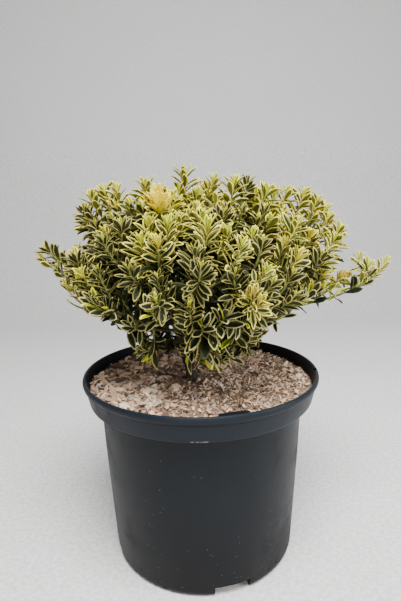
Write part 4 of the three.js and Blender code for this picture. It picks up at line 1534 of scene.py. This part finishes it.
def make_trunk(limb):
    """Lobed foot, relief in long ridges, closed at both ends."""
    sides, rings = 40, 44
    points = []
    for ring in range(rings + 1):
        share = ring / rings
        centre, way = limb.point(share), limb.way(share)
        if ring == 0:
            way = UP
        level, square = side_ways(way)
        for side in range(sides):
            angle = 2 * math.pi * side / sides
            out = way_round(level, square, angle)
            bearing = math.atan2(out.y, out.x)
            lobe = 1 + ROOT_LOBE * math.exp(-4 * share) * math.cos(ROOT_LOBES * bearing + 0.7)
            ridge = noise.noise(Vector((3.1 * math.cos(bearing), 3.1 * math.sin(bearing), 2.2 * share)))
            knot = noise.noise(centre * 0.16 + out * 0.7)
            points.append(centre + out * (limb.radius(share) * lobe * (1 + 0.10 * ridge + 0.07 * knot)))
    faces = [[ring * sides + side, ring * sides + (side + 1) % sides,
              (ring + 1) * sides + (side + 1) % sides, (ring + 1) * sides + side]
             for ring in range(rings) for side in range(sides)]
    faces.append(list(range(sides)))
    faces.append([rings * sides + side for side in range(sides)])
    mesh = mesh_of("trunk_bark", points, faces, (BARK_FINISH,))
    smooth(mesh, 50)
    return piece_of("trunk_bark", mesh)


def lines_base(name, limbs, spacing):
    """The limbs as lines with their thickness and the share of the way on each point."""
    points, edges, thick, share_rows = [], [], [], []
    for limb in limbs:
        count = max(3, int(limb.length / spacing))
        for step in range(count + 1):
            if step:
                edges.append((len(points) - 1, len(points)))
            points.append(limb.point(step / count))
            thick.append(MM * limb.radius(step / count))
            share_rows.append(step / count)
    return base_object(name, points, edges, thick=("float", thick), share=("float", share_rows))


def make_limbs(trunk, masses, skin):
    boughs = grown("boughs", lines_base("bough_lines", [mass["bough"] for mass in masses], 3), skin,
                   sides=14, spacing=0.0016, relief=0.0009, relief_scale=620.0,
                   old_finish=BARK_FINISH, young_finish=BARK_FINISH)
    return joined("trunk_and_boughs", [make_trunk(trunk), boughs])


# The plant

def turn_of(along, face):
    """Angles that turn a leaf's length along one direction and its upper side to another."""
    across = face.cross(along)
    return Matrix((along, across, face)).transposed().to_euler("XYZ")


def leaf_base(name, leaves):
    rows = list(zip(*leaves))
    turns = [tuple(turn_of(along, face)) for along, face in zip(rows[1], rows[2])]
    return base_object(name, rows[0], (), turn=("vector", turns), size=("float", [MM * s for s in rows[3]]),
                       shape=("int", rows[4]), look=("int", rows[5]))


def make_plant():
    """Trunk, boughs, twigs and leaves, each on the root body in place of its solids."""
    trunk, mains, masses = plan_crown()
    skin = limb_skin_tree()
    limbs = make_limbs(trunk, masses, skin)
    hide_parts("trunk", *[f"bough_{mass['name']}" for mass in masses])
    random = seeded_run(2027)
    shapes = collection_of("leaf_shapes", [leaf_shape(f"leaf_{i}", random) for i in range(LEAF_SHAPES)])
    tree = leaf_spray_tree()
    room = Room()
    room.take(steps_along(trunk), ("trunk",), TRUNK_RADIUS)
    for mass in masses:
        room.take(steps_along(mass["bough"])[1:-2], ("bough", mass["name"]), BOUGH_ROOM)
    twigs, leaves = grow_crown(masses, room)
    pieces = [(limbs, "bark")]
    for main in mains:
        group = [main, *main["carried"]]
        rows = [row for mass in group for row in leaves[masses.index(mass)]]
        piece = grown(f"leaves_{main['name']}", leaf_base("leaf_places", rows), tree,
                      leaf_shapes=shapes, leaf_size=1.0)
        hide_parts(*[f"foliage_{mass['name']}" for mass in group])
        pieces.append((piece, "leaves"))
    discard(shapes)
    stems = grown("twigs", lines_base("twig_lines", twigs, 5), skin, sides=6, spacing=0.005,
                  relief=0.0003, relief_scale=500.0, old_finish=TWIG_FINISH,
                  young_finish=YOUNG_TWIG_FINISH)
    pieces.append((stems, "bark"))
    return pieces


def make_container():
    pot = joined("nursery_pot", [make_pot(), make_ledge()])
    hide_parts("pot")
    bed = make_mix()
    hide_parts("potting_mix")
    chips = make_chips(bed)
    return [(pot, "pot_plastic"), (bed, "bark_mulch"), (chips, "bark_mulch")]


# Studio

def make_floor():
    """Pale floor that sweeps up into a wall well behind the plant."""
    width, front, back, height, bend, steps = 2.6, -2.2, 1.5, 2.4, 0.6, 14
    path = [(front, 0.0), (back - bend, 0.0)]
    path += [(back - bend + bend * math.sin(0.5 * math.pi * i / steps),
              bend - bend * math.cos(0.5 * math.pi * i / steps)) for i in range(1, steps + 1)]
    path.append((back, height))
    points = [(side * width, y, z) for y, z in path for side in (-1, 1)]
    faces = [(2 * i, 2 * i + 1, 2 * i + 3, 2 * i + 2) for i in range(len(path) - 1)]
    mesh = bpy.data.meshes.new("floor")
    mesh.from_pydata(points, [], faces)
    mesh.shade_smooth()
    mesh.materials.append(mottled_finish("pale_floor", (0.74, 0.735, 0.74), (0.715, 0.71, 0.71), 9.0, 0.5,
                                         240.0, (0.8, 0.9), (0.05, 0.0005)))
    return piece_of("floor", mesh)


def soft_light(name, place, aim, size, energy, colour):
    data = bpy.data.lights.new(name, "AREA")
    data.shape = "DISK"
    data.size = size
    data.energy = energy
    data.color = colour
    lamp = bpy.data.objects.new(name, data)
    lamp.location = place
    lamp.rotation_euler = (Vector(aim) - Vector(place)).to_track_quat("-Z", "Y").to_euler()
    bpy.context.scene.collection.objects.link(lamp)


def make_studio():
    make_floor()
    middle = (0, 0, 0.22)
    soft_light("overhead_light", (0.05, -0.5, 1.33), middle, 0.7, 41, (1.0, 0.985, 0.955))
    soft_light("front_light", (0.1, -1.35, 0.5), middle, 0.9, 7, (1.0, 0.98, 0.95))
    soft_light("right_light", (1.15, -0.45, 0.6), middle, 0.8, 13, (0.98, 0.985, 1.0))
    world = bpy.data.worlds.new("studio")
    world.use_nodes = True
    backdrop = world.node_tree.nodes["Background"]
    backdrop.inputs[0].default_value = (0.86, 0.86, 0.88, 1)
    backdrop.inputs[1].default_value = 0.32
    bpy.context.scene.world = world


def make_camera():
    """The photograph's viewing angle: place, pitch, roll and lens."""
    data = bpy.data.cameras.new("camera")
    sensor, focal_length, picture_height = 36, 450, 601
    data.sensor_width = sensor
    data.lens = sensor * focal_length / picture_height
    data.clip_start = 0.01
    data.clip_end = 20
    camera = bpy.data.objects.new("camera", data)
    place, pitch, roll = (0.001344, -0.4184, 0.3223), 0.189, -0.022
    turn = Matrix.Rotation(math.pi / 2 - pitch, 4, "X") @ Matrix.Rotation(roll, 4, "Z")
    camera.matrix_world = Matrix.Translation(place) @ turn
    bpy.context.scene.collection.objects.link(camera)
    bpy.context.scene.camera = camera


make_camera()
make_studio()
for piece, finish_slot in make_container() + make_plant():
    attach(piece, "root")
